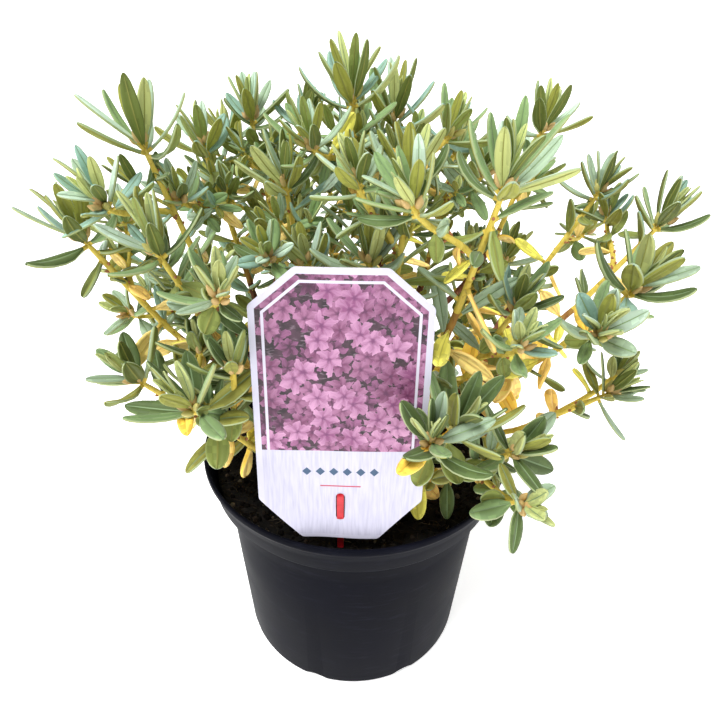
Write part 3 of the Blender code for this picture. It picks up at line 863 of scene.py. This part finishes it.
def scatter_crumbs(browns, draw):
    """Crumbs of peat of several sizes."""
    crumbs = Joined(browns)
    faces = ring_faces(len(CRUMB_STATIONS), CRUMB_SIDES)
    for _ in range(CRUMBS):
        x, y = scattered(0.985, draw)
        size = draw.choice(CRUMB_SIZES)
        centre = Vector((x, y, soil_height(x, y) + size * 0.3))
        turn = Matrix.Rotation(draw.uniform(0, math.tau), 3, Vector([draw.gauss(0, 1) for _ in "xyz"]))
        points = []
        for height, width in CRUMB_STATIONS:
            for angle in even_angles(CRUMB_SIDES):
                reach = width * size * draw.uniform(0.7, 1.15)
                corner = Vector((math.cos(angle) * reach, -math.sin(angle) * reach, height * size))
                points.append(centre + turn @ corner)
        crumbs.take(np.array(points), faces, draw.choices(list(browns), CRUMB_WEIGHTS)[0])
    dress(crumbs.build("peat_crumbs", smooth=False), "peat")


def scatter_fibres(browns, draw):
    """Short bent fibres that lie on the ground."""
    fibres = Joined(browns)
    steps = len(FIBRE_TAPER) - 1
    for _ in range(FIBRES):
        x, y = scattered(0.95, draw)
        heading = draw.uniform(0, math.tau)
        bend = draw.uniform(-FIBRE_BEND, FIBRE_BEND)
        step = draw.uniform(*FIBRE_LENGTH) / steps
        thick = draw.uniform(*FIBRE_RADIUS)
        lift = draw.uniform(*FIBRE_LIFT)
        path = []
        for i in range(steps + 1):
            path.append(Vector((x, y, soil_height(x, y) + thick + lift * math.sin(math.pi * i / steps))))
            if math.hypot(x, y) < SOIL_EDGE - step:
                x += math.cos(heading) * step
                y += math.sin(heading) * step
            else:
                x *= 0.98
                y *= 0.98
            heading += bend
        name = draw.choices(list(browns), FIBRE_WEIGHTS)[0]
        fibres.add_limb(path, [thick * share for share in FIBRE_TAPER], FIBRE_SIDES, name)
    dress(fibres.build("peat_fibres", smooth=False), "peat")


def build_soil(draw):
    middle, foot_middle = SOIL_AXIS_GAP
    top = turned([(max(SOIL_EDGE * i / SOIL_RINGS, middle), 0) for i in range(SOIL_RINGS + 1)], SOIL_STEPS)
    top[:, 2] = [soil_height(x, y) for x, y, _ in top]
    foot_edge = BODY_RADIUS - POT_WALL - SOIL_GAP
    foot = turned([(foot_edge, COLLAR_FOOT), (foot_middle, COLLAR_FOOT)], SOIL_STEPS)
    ground = Joined({"peat": soil_finish()})
    ground.take(np.concatenate([top, foot]), ring_faces(SOIL_RINGS + 3, SOIL_STEPS)[:, ::-1], "peat")
    dress(ground.build("peat_ground"), "peat", "soil")
    browns = {name: plain("crumb_" + name, *row, 0.1) for name, row in CRUMB_TINTS.items()}
    scatter_crumbs(browns, draw)
    scatter_fibres(browns, draw)


# Label


def card_outline():
    half = CARD_WIDTH / 2
    right = [
        (half - CARD_BOTTOM_CUT[0], 0),
        (half, CARD_BOTTOM_CUT[1]),
        (half, CARD_HEIGHT - CARD_TOP_CUT[1]),
        (half - CARD_TOP_CUT[0], CARD_HEIGHT),
    ]
    corners = right + [(-x, y) for x, y in reversed(right)]
    closed = [corners[-1], *corners, corners[0]]
    return rounded(closed, CARD_ROUNDING)[1:-1]


def flat_card():
    """The card's outline with its slot, filled in."""
    half, tall = SLOT_SIZE[0] / 2, (SLOT_SIZE[1] - SLOT_SIZE[0]) / 2
    turns = [math.pi * i / SLOT_STEPS for i in range(SLOT_STEPS + 1)]
    top = [(half * math.cos(turn), tall + half * math.sin(turn)) for turn in turns]
    slot = [(x, y + SLOT_HEIGHT_UP) for x, y in top + [(-x, -y) for x, y in top]]
    curve = bpy.data.curves.new("card", "CURVE")
    curve.dimensions = "2D"
    curve.fill_mode = "BOTH"
    for loop in (card_outline(), slot[::-1]):
        spline = curve.splines.new("POLY")
        spline.points.add(len(loop) - 1)
        spline.use_cyclic_u = True
        for point, (x, y) in zip(spline.points, loop):
            point.co = (x, y, 0, 1)
    flat = link("card_flat", curve)
    mesh = applied(flat)
    bpy.data.objects.remove(flat)
    return mesh


def bend_card(mesh):
    """Cuts the card into a grid, bows its top corners back and ripples its foot."""
    shapes = bmesh.new()
    shapes.from_mesh(mesh)
    bmesh.ops.remove_doubles(shapes, verts=shapes.verts, dist=0.000001)
    for normal, most in ((Vector((1, 0, 0)), CARD_WIDTH / 2), (Vector((0, 1, 0)), CARD_HEIGHT)):
        steps = int(most / CARD_GRID)
        for i in range(-steps, steps + 1):
            cut = {"plane_co": normal * (i * CARD_GRID), "plane_no": normal, "dist": 0.000001}
            bmesh.ops.bisect_plane(shapes, geom=[*shapes.verts, *shapes.edges, *shapes.faces], **cut)
    for vertex in shapes.verts:
        x, y = vertex.co.x, vertex.co.y
        vertex.co.z -= CARD_BOW * (x / (CARD_WIDTH / 2)) ** 2 * (y / CARD_HEIGHT) ** 1.5
        vertex.co.z += CARD_RIPPLE * math.sin(x * 130) * (1 - y / CARD_HEIGHT) ** 3
    bmesh.ops.recalc_face_normals(shapes, faces=shapes.faces)
    if sum(face.normal.z for face in shapes.faces) < 0:
        bmesh.ops.reverse_faces(shapes, faces=shapes.faces)
    shapes.to_mesh(mesh)
    shapes.free()


def build_card():
    mesh = flat_card()
    bend_card(mesh)
    mesh.materials.clear()
    mesh.materials.append(card_face_finish())
    mesh.materials.append(clouded_finish("card_back", 0.5, 30, "E6E2EC", "EFECF3"))
    card = link("label_print", mesh)
    thick = card.modifiers.new("Thickness", "SOLIDIFY")
    thick.thickness = CARD_THICK
    thick.offset = 0
    thick.material_offset = 1
    thick.material_offset_rim = 1
    apply_modifiers(card)
    card.location = CARD_FOOT
    card.rotation_euler = CARD_TURN.to_euler()
    dress(card, "card", "label_card")


def finish_stick():
    finishes = NODES["label_stick"].data.materials
    finishes.clear()
    finishes.append(clouded_finish("stick_red", 0.3, 300, "B5121E", "CE2230"))


# Limbs


def along_limb(limb, fraction):
    """The point, direction and radius at a fraction of a limb's length."""
    path, radii = limb
    steps = [(b - a).length for a, b in zip(path, path[1:])]
    left = fraction * sum(steps)
    first = 0
    while first < len(steps) - 1 and left > steps[first]:
        left -= steps[first]
        first += 1
    point = path[first].lerp(path[first + 1], left / steps[first])
    return point, (path[first + 1] - path[first]).normalized(), radii[first]


def trunk_limb():
    foot = Vector((0, 0, SOIL_LEVEL - TRUNK_SUNK))
    waist = Vector((0, 0, SOIL_LEVEL + TRUNK_FLARE_HEIGHT))
    middle = (waist + TRUNK_TOP) / 2 + UP * TRUNK_BEND
    flare = [i / TRUNK_RINGS[0] for i in range(TRUNK_RINGS[0])]
    rise = [i / TRUNK_RINGS[1] for i in range(TRUNK_RINGS[1] + 1)]
    path = [foot.lerp(waist, t) for t in flare]
    path += [waist.lerp(middle, t).lerp(middle.lerp(TRUNK_TOP, t), t) for t in rise]
    radii = [mix(TRUNK_WAIST_RADIUS, TRUNK_FOOT_RADIUS, (1 - t) ** 2.2) for t in flare]
    return path, radii + tapered((TRUNK_WAIST_RADIUS, TRUNK_TOP_RADIUS), len(rise))


def shoot_lean(reach, height):
    """How far a shoot leans outwards: most where it is low and far out."""
    rise = (height - LEAN_LOW) / (LEAN_TOP - LEAN_LOW)
    return math.radians(LEAN_MOST) * min(reach / LEAN_REACH, LEAN_CAP) * (1 - LEAN_EASE * rise)


def leading_shoot(row):
    """The foot of a mass's leading rosette, and the way its shoot points."""
    azimuth, reach, height = row[2:5]
    out = bearing(azimuth)
    place = out * reach / 1000 + UP * height / 1000
    axis = tilted(UP, out, shoot_lean(reach / 1000, height / 1000))
    return place - axis * ROSETTE_DEPTH / 2, axis


def bough_limb(row, parent):
    """A bough from inside its parent to where it enters its mass."""
    from_trunk = row[0] == "trunk"
    radii = MAIN_RADIUS if from_trunk else SIDE_RADIUS
    tip, axis = leading_shoot(row)
    end = tip - axis * (LEADER_LENGTH + STEM_LENGTH)
    point, along, width = along_limb(parent, row[1])
    if row[1] == 1:
        start = point
        away = along
    else:
        fork = math.radians(TRUNK_FORK_ANGLE if from_trunk else BOUGH_FORK_ANGLE)
        away = tilted(along, squared(end - point, along), fork)
        start = point + away * (width + radii[0]) * 0.9
    sweep = (end - start).length * BOUGH_SWEEP
    first = start + away * BOUGH_STUB
    last = end - axis * BOUGH_STUB
    bend = interpolate_bezier(first, start + away * sweep, end - axis * sweep, last, BOUGH_POINTS)
    path = [point, start, *bend, end]
    return path, tapered(radii, len(path))


def tapered(radii, count):
    """Radii that change evenly from one to another."""
    return [mix(*radii, i / (count - 1)) for i in range(count)]


def grow_limbs():
    limbs = {"trunk": trunk_limb()}
    for name, row in BOUGHS.items():
        limbs[name] = bough_limb(row, limbs[row[0]])
    return limbs


def bark_relief(depth):
    """Ridges and flakes along a limb."""

    def relief(point):
        ridges = noise.noise(Vector((point.x * 420, point.y * 420, point.z * 90)))
        flakes = noise.noise(Vector((point.x * 900, point.y * 900, point.z * 260)) + Vector((7, 3, 1)))
        return depth * (ridges + 0.6 * flakes)

    return relief


def bark_faces(path, sides, draw, from_trunk):
    """Which bark each face takes: old wood at the foot, young and yellow at the tip."""
    lengths = [(b - a).length for a, b in zip(path, path[1:])]
    left = sum(lengths)
    names = []
    for step in lengths:
        drawn = left + draw.uniform(-BARK_STRAY, BARK_STRAY)
        left -= step
        oldest = "bark_old" if from_trunk else "bark_brown"
        names += [next((name for name, reach in BARK_REACHES.items() if drawn < reach), oldest)] * sides
    return names + [names[0], names[-1]] * (sides // 2 - 1)


def build_limbs(limbs, draw):
    barks = {name: bark_finish(name, *tints) for name, tints in BARK_TINTS.items()}
    trunk = Joined(barks)
    trunk.add_limb(*limbs["trunk"], TRUNK_SIDES, "bark_old", bark_relief(TRUNK_RELIEF))
    dress(trunk.build("trunk_bark"), "bark", "trunk")
    boughs = Joined(barks)
    for name, row in BOUGHS.items():
        names = bark_faces(limbs[name][0], BOUGH_SIDES, draw, row[0] == "trunk")
        boughs.add_limb(*limbs[name], BOUGH_SIDES, names, bark_relief(BOUGH_RELIEF))
    dress(boughs.build("bough_bark"), "bark", *["bough_" + name for name in BOUGHS])


# Foliage


def mass_shoots(row):
    """A mass's shoots as paths, and its rosettes as (foot, direction, leaf length), by the source's rule."""
    place, axis = leading_shoot(row)
    fork = place - axis * LEADER_LENGTH
    paths = [[fork - axis * STEM_LENGTH, fork, place, place + axis * ROSETTE_DEPTH]]
    longest = row[8] / 1000
    rosettes = [(place, axis, longest)]
    shoots, turn, spread = row[5:8]
    for i in range(shoots - 1):
        out = squared(bearing(turn + i * SIDE_SHOOT_TURN), axis)
        way = tilted(axis, out, math.radians(spread))
        upward = (way + UP * SIDE_SHOOT_RISE).normalized()
        foot = fork + way * SIDE_SHOOT_LENGTH
        away = (way + axis * 0.6).normalized()
        third = SIDE_SHOOT_LENGTH / 3
        start = fork - axis * SIDE_SHOOT_ROOT
        path = interpolate_bezier(start, fork + away * third, foot - upward * third, foot, 12)
        paths.append([*path, foot + upward * ROSETTE_DEPTH])
        rosettes.append((foot, upward, longest * SIDE_LEAF_SIZE))
    return paths, rosettes


@dataclass
class Leaf:
    """One leaf: its root, its direction and the blade's across, its size, its curve and its finishes."""

    root: Vector
    way: Vector
    across: Vector
    length: float
    width: float
    bend: float
    fold: float
    tint: str
    under: str = "under"
    twist: float = 0.0

    def __post_init__(self):
        self.root, self.way, self.across = map(np.array, (self.root, self.way, self.across))
        self.normal = np.cross(self.way, self.across)

    def frame_at(self, share):
        """The middle line's point and the blade's normal at a share of its length."""
        turn = self.bend * share
        if abs(self.bend) < 0.01:
            middle = self.root + self.way * self.length * share
        else:
            radius = self.length / self.bend
            run = radius * math.sin(turn)
            drop = radius * (1 - math.cos(turn))
            middle = self.root + self.way * run - self.normal * drop
        return middle, tilted(self.normal, self.way, turn)

    def points(self):
        half = self.width / 2
        rings = []
        for share, wide, thick in LEAF_STATIONS:
            middle, normal = self.frame_at(share)
            across = tilted(self.across, normal, self.twist * share)
            normal = tilted(normal, -self.across, self.twist * share)
            x = LEAF_SECTION[:, 0:1] * wide * half
            y = LEAF_SECTION[:, 1:2] * thick * half
            if share > PETIOLE_SHARE:
                y = y + self.fold * np.abs(x)
            else:
                y = y * PETIOLE_DEPTH
            rings.append(middle + across * x + normal * y)
        return np.concatenate(rings)

    def lines(self):
        """The middle line and both edges as a few points each, to test what the leaf would touch."""
        lines = [[], [], []]
        for share, reach in ((0.14, 0.0), (0.35, 0.45), (0.6, 0.48), (0.85, 0.3), (1.0, 0.0)):
            middle, _ = self.frame_at(share)
            for line, side in zip(lines, (-1, 0, 1)):
                line.append(Vector(middle + self.across * self.width * reach * side))
        return lines


LEAF_SECTION = np.array(
    [LEAF_GROOVE, *LEAF_HALF_SECTION, LEAF_RIB, *[(-x, y) for x, y in reversed(LEAF_HALF_SECTION)]]
)
LEAF_FACES = ring_faces(len(LEAF_STATIONS), len(LEAF_SECTION))


def leaf_face_names(leaf, high, draw):
    """The finish of each face of a leaf, mottled by dealing out its tint's lighter and darker shades,
    weighted lighter on high masses as painted light and darker on low ones as painted shade.
    """
    tint = leaf.tint
    if tint in YELLOW_TINTS:
        shades, groove, edge, rib, below = SHADES, tint + "_dark", tint + "_light", "straw", "straw"
    else:
        shades, groove, edge, rib, below = MOTTLE_WITH_HEIGHT_PAINTED_LIGHT[high], "groove", "edge", "rib", leaf.under
    names = ["petiole"] * len(LEAF_SECTION)
    for _ in range(len(LEAF_STATIONS) - 2):
        halves = []
        for _ in range(2):
            above = [tint + draw.choice(shades) for _ in range(3)]
            beneath = [below + draw.choice(shades) for _ in range(2)]
            halves.append([groove, *above, edge, below, *beneath, rib])
        names += halves[0] + halves[1][::-1]
    return names + ["petiole", tint] * (len(LEAF_SECTION) // 2 - 1)


class Surroundings:
    """What leaves keep clear of: the limbs, pot, soil and label, and the other masses' space."""

    def __init__(self, sites):
        points = []
        faces = []
        for name, node in NODES.items():
            if not name.startswith("foliage_"):
                first = len(points)
                points += [vertex.co.copy() for vertex in node.data.vertices]
                faces += [[first + i for i in face.vertices] for face in node.data.polygons]
        self.tree = BVHTree.FromPolygons(points, faces)
        self.owners = [owner for owner, _ in sites]
        self.sites = np.array([tuple(site) for _, site in sites])

    def touches(self, leaf):
        for line in leaf.lines():
            for a, b in zip(line, line[1:]):
                if self.tree.ray_cast(a, b - a, (b - a).length)[0] is not None:
                    return True
        return False

    def leaves_space(self, leaf, owner, own_site):
        """True where the leaf goes further than a little past halfway to another mass's rosette."""
        others = self.sites[[o != owner for o in self.owners]]
        away = others - np.array(own_site)
        middles = others - away / 2
        away /= np.linalg.norm(away, axis=1)[:, None]
        for share in (0.6, 1.0):
            point, _ = leaf.frame_at(share)
            if (((point - middles) * away).sum(axis=1) > MASS_ROOM).any():
                return True
        return False

    def fits(self, leaf, owner, site):
        """True where the leaf finds room, made shorter and bent further a few times if it must be."""
        for _ in range(FITTING_ROUNDS):
            strays = site is not None and self.leaves_space(leaf, owner, site)
            if not strays and not self.touches(leaf) and not hides_label(leaf):
                return True
            leaf.length *= 0.86
            leaf.bend += 0.12
        return False


def hides_label(leaf):
    """True where a leaf would come in front of the part of the label's face that is kept clear."""
    left, right = CARD_CLEAR_WIDTH
    low, high = CARD_CLEAR_HEIGHT
    for share in (0.4, 0.7, 1.0):
        across, up, ahead = Vector(leaf.frame_at(share)[0] - np.array(CARD_FOOT)) @ CARD_TURN
        if ahead > 0 and left < across < right and low < up < high:
            return True
    return False


def crown_level(height):
    """How high a place is in the crown: 0 among the low shoots and 1 among the high ones."""
    rise = (height - LEAF_WIDE_BELOW) / (LEAF_NARROW_ABOVE - LEAF_WIDE_BELOW)
    return min(max(rise, 0), 1)


def leaf_width(height):
    """How wide a leaf is: broad on low shoots and narrow on high ones."""
    return mix(*LEAF_WIDTH, crown_level(height))


def rosette(foot, axis, draw, count, longest, broad, palette):
    """A rosette's leaves: spreading and long at its foot, short and upright at its tip."""
    spin = draw.uniform(0, math.tau)
    droop = 1 - axis.z
    for i in range(count):
        level = i / (count - 1)
        widest = LEAF_SPLAY[0] + LEAF_DROOP * droop
        splay = mix(widest, LEAF_SPLAY[1], level**LEAF_SPLAY_EASE)
        splay += draw.uniform(-LEAF_SPLAY_DRAW, LEAF_SPLAY_DRAW)
        length = longest * mix(1, LEAF_SHORTEST, level) * draw.uniform(0.85, 1.1)
        width = leaf_width(foot.z) * broad * mix(1.05, 0.8, level) * draw.uniform(0.85, 1.12)
        way = tilted(axis, square_to(axis, spin + i * GOLDEN), math.radians(splay))
        root = foot + axis * LEAF_RISE * level
        bend = mix(*LEAF_ARCH, level) + draw.uniform(-0.3, 0.4) + droop * 1.6 * (1 - level)
        fold = mix(-0.05, 0.30, level) + draw.uniform(-0.10, 0.12)
        under = draw.choice(tuple(UNDER_TINTS))
        roll = Matrix.Rotation(draw.gauss(0, 0.28), 3, way)
        tint = draw.choice(palette[(level >= 0.3) + (level >= 0.75)])
        side = roll @ (axis + UP * LEAF_ARCH_UPWARD).cross(way).normalized()
        yield Leaf(root, way, side, length, width, bend, fold, tint, under, draw.gauss(0, 0.25))


def shoot_leaves(path, draw, palette, longest, single, blunt):
    """Single leaves down a shoot below its rosette, the lowest ones often yellow, and blunt hanging ones."""
    limb = (path, [0] * len(path))
    spin = draw.uniform(0, math.tau)
    for i in range(single + blunt):
        hung = i >= single
        if hung:
            share = draw.uniform(0.6, 0.95)
        else:
            share = 0.02 + 0.68 * i / (single - 1) + draw.uniform(-0.02, 0.06)
        point, along, _ = along_limb(limb, share)
        out = square_to(along, spin + i * GOLDEN)
        old = not hung and draw.random() < YELLOW_SHARE * (1 - share)
        splay = math.radians(draw.uniform(80, 130) if old or hung else draw.uniform(42, 80))
        length = longest * (draw.uniform(0.45, 0.65) if hung else draw.uniform(0.62, 0.95))
        width = leaf_width(point.z) * (draw.uniform(1.0, 1.3) if hung else draw.uniform(0.8, 1.05))
        way = tilted(along, out, splay)
        side = along.cross(out)
        if hung:
            way = (way - UP * 0.5).normalized()
            side = way.cross(along)
        bend = draw.uniform(-0.3, 0.5)
        tints = HUNG_TINTS if hung else palette[0] + palette[1]
        tint = draw.choice(tuple(YELLOW_TINTS) if old else tints)
        side = Matrix.Rotation(draw.gauss(0, 0.4), 3, way) @ side.normalized()
        fold = draw.uniform(-0.1, 0.25)
        yield Leaf(point, way, side, length, width, bend, fold, tint, twist=draw.gauss(0, 0.4))


def bough_leaves(limb, draw, palette, longest, count, start, yellow_share):
    """Single leaves along a bough from a share of its length on, some of them yellow."""
    spin = draw.uniform(0, math.tau)
    for i in range(count):
        share = mix(start, 0.99, (i + draw.random()) / count)
        point, along, thick = along_limb(limb, share)
        out = square_to(along, spin + i * GOLDEN)
        old = draw.random() < yellow_share
        splay = draw.uniform(60, 120) if old else draw.uniform(40, 75)
        way = tilted(along, out, math.radians(splay))
        if old:
            way = (way - UP * draw.uniform(0.1, 0.6)).normalized()
        length = longest * draw.uniform(0.6, 0.95)
        width = leaf_width(point.z) * draw.uniform(0.8, 1.1) * (1.1 if old else 1)
        tint = draw.choice(tuple(YELLOW_TINTS) if old else palette[0] + palette[1])
        roll = Matrix.Rotation(draw.gauss(0, 0.9 if old else 0.4), 3, way)
        side = roll @ (along + UP * 0.5).cross(way).normalized()
        bend, fold, twist = draw.uniform(-0.5, 0.4), draw.uniform(-0.1, 0.3), draw.gauss(0, 0.5)
        yield Leaf(point + out * thick * 0.5, way, side, length, width, bend, fold, tint, twist=twist)


def spur_leaves(stems, limb, draw, palette, longest, count):
    """Green spurs low on a shoot, each with its rosette of leaves."""
    for _ in range(count):
        point, along, _ = along_limb(limb, draw.uniform(0.0, 0.45))
        out = square_to(along, draw.uniform(0, math.tau))
        way = (along * 0.7 + out * 0.9 + UP * 0.3).normalized()
        end = point + way * draw.uniform(*SPUR_LENGTH)
        axis = (way + UP * 0.25).normalized()
        add_stem(stems, [point, end, end + axis * SPUR_TIP], SPUR_RADIUS, 8, 8, "fresh")
        foot = end - way * SPUR_ROSETTE_DEPTH
        yield from rosette(foot, axis, draw, SPUR_LEAVES, longest * SPUR_SIZE, SPUR_BREADTH, palette)


def candle_leaves(top, axis, draw, longest):
    """The young leaves that stand closed round a shoot's tip."""
    for i in range(CANDLE_LEAVES):
        out = square_to(axis, i * GOLDEN)
        way = tilted(axis, out, math.radians(draw.uniform(3, 9)))
        length = longest * draw.uniform(0.45, 0.75)
        yield Leaf(top, way, axis.cross(out), length, length * 0.2, 0.05, 0.6, "fresh", "under_pale")


def add_stem(stems, path, radii, rings, sides, tint, relief=None):
    """A shoot's or spur's bark, on a smooth curve through its path."""
    limb = (path, radii)
    points = [along_limb(limb, i / (rings - 1))[0] for i in range(rings)]
    for _ in range(2):
        inner = [(a + b * 2 + c) / 4 for a, b, c in zip(points, points[1:], points[2:])]
        points = [points[0], *inner, points[-1]]
    shares = np.linspace(0, 1, len(radii))
    fine = [float(np.interp(i / (rings - 1), shares, radii)) for i in range(rings)]
    stems.add_limb(points, fine, sides, tint, relief)


def add_bud(buds, foot, axis, length, width, tint):
    """A pointed bud."""
    path = [foot + axis * length * share for share, _ in BUD_PROFILE]
    radii = [width * half for _, half in BUD_PROFILE]
    buds.add_limb(path, radii, BUD_SIDES, tint)


def add_scars(buds, limb, draw):
    """Scars of fallen leaves down a shoot, as small buds."""
    for i in range(SHOOT_SCARS):
        point, along, thick = along_limb(limb, (i + draw.random()) / SHOOT_SCARS * 0.85)
        out = square_to(along, draw.uniform(0, math.tau))
        way = (along * 0.8 + out).normalized()
        add_bud(buds, point + out * thick * 0.7, way, draw.uniform(*SCAR_LENGTHS), SCAR_WIDTH, "scar")


def add_cluster(buds, foot, axis, raised, draw):
    """The bud at a shoot's tip and the ring of buds round it."""
    add_bud(buds, foot + axis * ROSETTE_DEPTH * 0.7, raised, *TIP_BUD_SIZE, "bud")
    for i in range(RING_BUDS):
        out = square_to(raised, math.tau * (i + draw.uniform(-0.2, 0.2)) / RING_BUDS)
        start = foot + axis * ROSETTE_DEPTH * draw.uniform(0.35, 0.75) + out * RING_SPREAD
        tint = draw.choice(("bud", "bud", "bud_green"))
        lean = (raised + out * 0.7).normalized()
        add_bud(buds, start, lean, draw.uniform(*RING_BUD_LENGTHS), draw.uniform(*RING_BUD_WIDTHS), tint)


def shoot_parts(name, shoot, path, rosette_row, stems, buds, draw, palette):
    """One shoot of a mass: adds its stem and buds, and gives its leaves."""
    foot, axis, longest = rosette_row
    longest *= LEAF_LENGTHS.get(name, 1)
    spurs, single, blunt = SPRAYS[spray_kind(name)][:3]
    broad = LEAF_BREADTHS.get(name, 1) * (0.9 if shoot else 1)
    level = crown_level(foot.z)
    raised = (axis + UP * LEAF_LIFT * level).normalized()
    count = round(mix(*ROSETTE_LEAVES, level))
    leaves = list(rosette(foot, raised, draw, count, longest, broad, palette))
    if (name, shoot) == TURNED_LEAF[:2]:
        leaves[TURNED_LEAF[2]].tint = "gold"
        leaves[TURNED_LEAF[2]].length *= 0.8
    leaves += shoot_leaves(path[:-1], draw, palette, longest, single, blunt)
    radii = tapered(SHOOT_RADIUS, len(path))
    radii[-1] *= 0.6
    add_stem(stems, path, radii, 30, 10, "young", bark_relief(SHOOT_RELIEF))
    limb = (path[:-1], radii)
    leaves += spur_leaves(stems, limb, draw, palette, longest, spurs)
    add_scars(buds, limb, draw)
    leaves += candle_leaves(foot + axis * ROSETTE_DEPTH * 0.7, raised, draw, longest)
    add_cluster(buds, foot, axis, raised, draw)
    return leaves


def spray_kind(name):
    """How a mass is filled: full, unless the photograph shows it thinner."""
    return next((kind for kind, names in THIN_SPRAYS.items() if name in names.split()), "full")


def build_foliage(limbs):
    stems = Joined({name: bark_finish(*row, 420) for name, row in SHOOT_TINTS.items()})
    buds = Joined({name: plain(*row) for name, row in BUD_TINTS.items()})
    finishes = leaf_finishes()
    greens = [(Joined(finishes), [])]
    shoots = {name: mass_shoots(row) for name, row in BOUGHS.items()}
    sites = [(n, foot + axis * ROSETTE_DEPTH) for n, (_, rows) in shoots.items() for foot, axis, _ in rows]
    around = Surroundings(sites)
    for name, (paths, rosettes) in shoots.items():
        draw = random.Random(name)
        height = BOUGHS[name][4]
        palette = draw.choice(HIGH_PALETTES)
        if height < LOW_MASS:
            palette = LOW_PALETTE
        own = random.Random(name + " bough")
        along = SPRAYS[spray_kind(name)][3:]
        leaves = [(leaf, None) for leaf in bough_leaves(limbs[name], own, palette, rosettes[0][2], *along)]
        for i, (path, row) in enumerate(zip(paths, rosettes)):
            site = row[0] + row[1] * ROSETTE_DEPTH
            leaves += [(leaf, site) for leaf in shoot_parts(name, i, path, row, stems, buds, draw, palette)]
        kept = [leaf for leaf, site in leaves if around.fits(leaf, name, site)]
        if greens[-1][0].triangles() + 2 * len(kept) * len(LEAF_FACES) > PIECE_TRIANGLES:
            greens.append((Joined(finishes), []))
        piece, nodes = greens[-1]
        nodes.append("foliage_" + name)
        for leaf in kept:
            # High masses' leaves are dealt lighter shades as painted light, lower masses' leaves darker
            # shades as painted shade
            piece.take(leaf.points(), LEAF_FACES, leaf_face_names(leaf, height >= HIGH_MASS, draw))
    for i, (piece, nodes) in enumerate(greens):
        dress(piece.build(f"leaves_{i}"), "foliage", *nodes)
    dress(stems.build("shoots"), "foliage")
    dress(buds.build("buds"), "foliage")


# Stage


def add_camera():
    lens = bpy.data.cameras.new("camera")
    lens.lens = CAMERA_LENS
    lens.sensor_width = CAMERA_SENSOR
    lens.clip_start = 0.01
    camera = link("camera", lens)
    turn = Matrix.Rotation(math.radians(-CAMERA_YAW), 4, "Z")
    turn @= Matrix.Rotation(math.radians(90 - CAMERA_PITCH), 4, "X")
    turn @= Matrix.Rotation(math.radians(CAMERA_ROLL), 4, "Z")
    camera.matrix_world = Matrix.Translation(CAMERA_PLACE) @ turn
    bpy.context.scene.camera = camera


def add_plane(name, points, faces, glow):
    """A white surface of the stage, which glows a little, so that shadows on it stay faint."""
    white = Finish(name + "_white", 0.9, 0.05)
    white.set("Base Color", colour("F6F6F6"))
    white.set("Emission Color", (1, 1, 1, 1))
    white.set("Emission Strength", glow)
    mesh = bpy.data.meshes.new(name)
    mesh.from_pydata(points, [], faces)
    mesh.materials.append(white.material)
    link(name, mesh)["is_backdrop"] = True


def add_stage():
    side = FLOOR_SIDE / 2
    corners = [Vector(xy).to_3d() * side for xy in ((-1, -1), (1, -1), (1, 1), (-1, 1))]
    add_plane("floor", corners, [(0, 1, 2, 3)], FLOOR_GLOW)
    foots = [corner * 0.99 for corner in corners]
    tops = [foot + UP * WALL_HEIGHT for foot in foots]
    add_plane("wall", foots + tops, [(i, (i + 1) % 4, (i + 1) % 4 + 4, i + 4) for i in range(4)], 1.0)
    world = bpy.data.worlds.new("daylight")
    world.use_nodes = True
    sky = world.node_tree.nodes["Background"]
    sky.inputs["Color"].default_value = (1, 1, 1, 1)
    sky.inputs["Strength"].default_value = SKY_STRENGTH
    bpy.context.scene.world = world
    sun = bpy.data.lights.new("soft_sun", "SUN")
    sun.energy = SUN_STRENGTH
    sun.angle = math.radians(SUN_SOFTNESS)
    lamp = link("soft_sun", sun)
    lamp.rotation_euler = [math.radians(turn) for turn in SUN_TURN]
    bpy.context.scene.view_settings.view_transform = "Standard"


def main():
    add_camera()
    add_stage()
    build_pot()
    build_soil(random.Random("soil"))
    build_card()
    finish_stick()
    limbs = grow_limbs()
    build_limbs(limbs, random.Random("bark"))
    build_foliage(limbs)
    boxes = [[list(corner) for corner in box] for box in (CAD_BOUNDS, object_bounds())]


main()
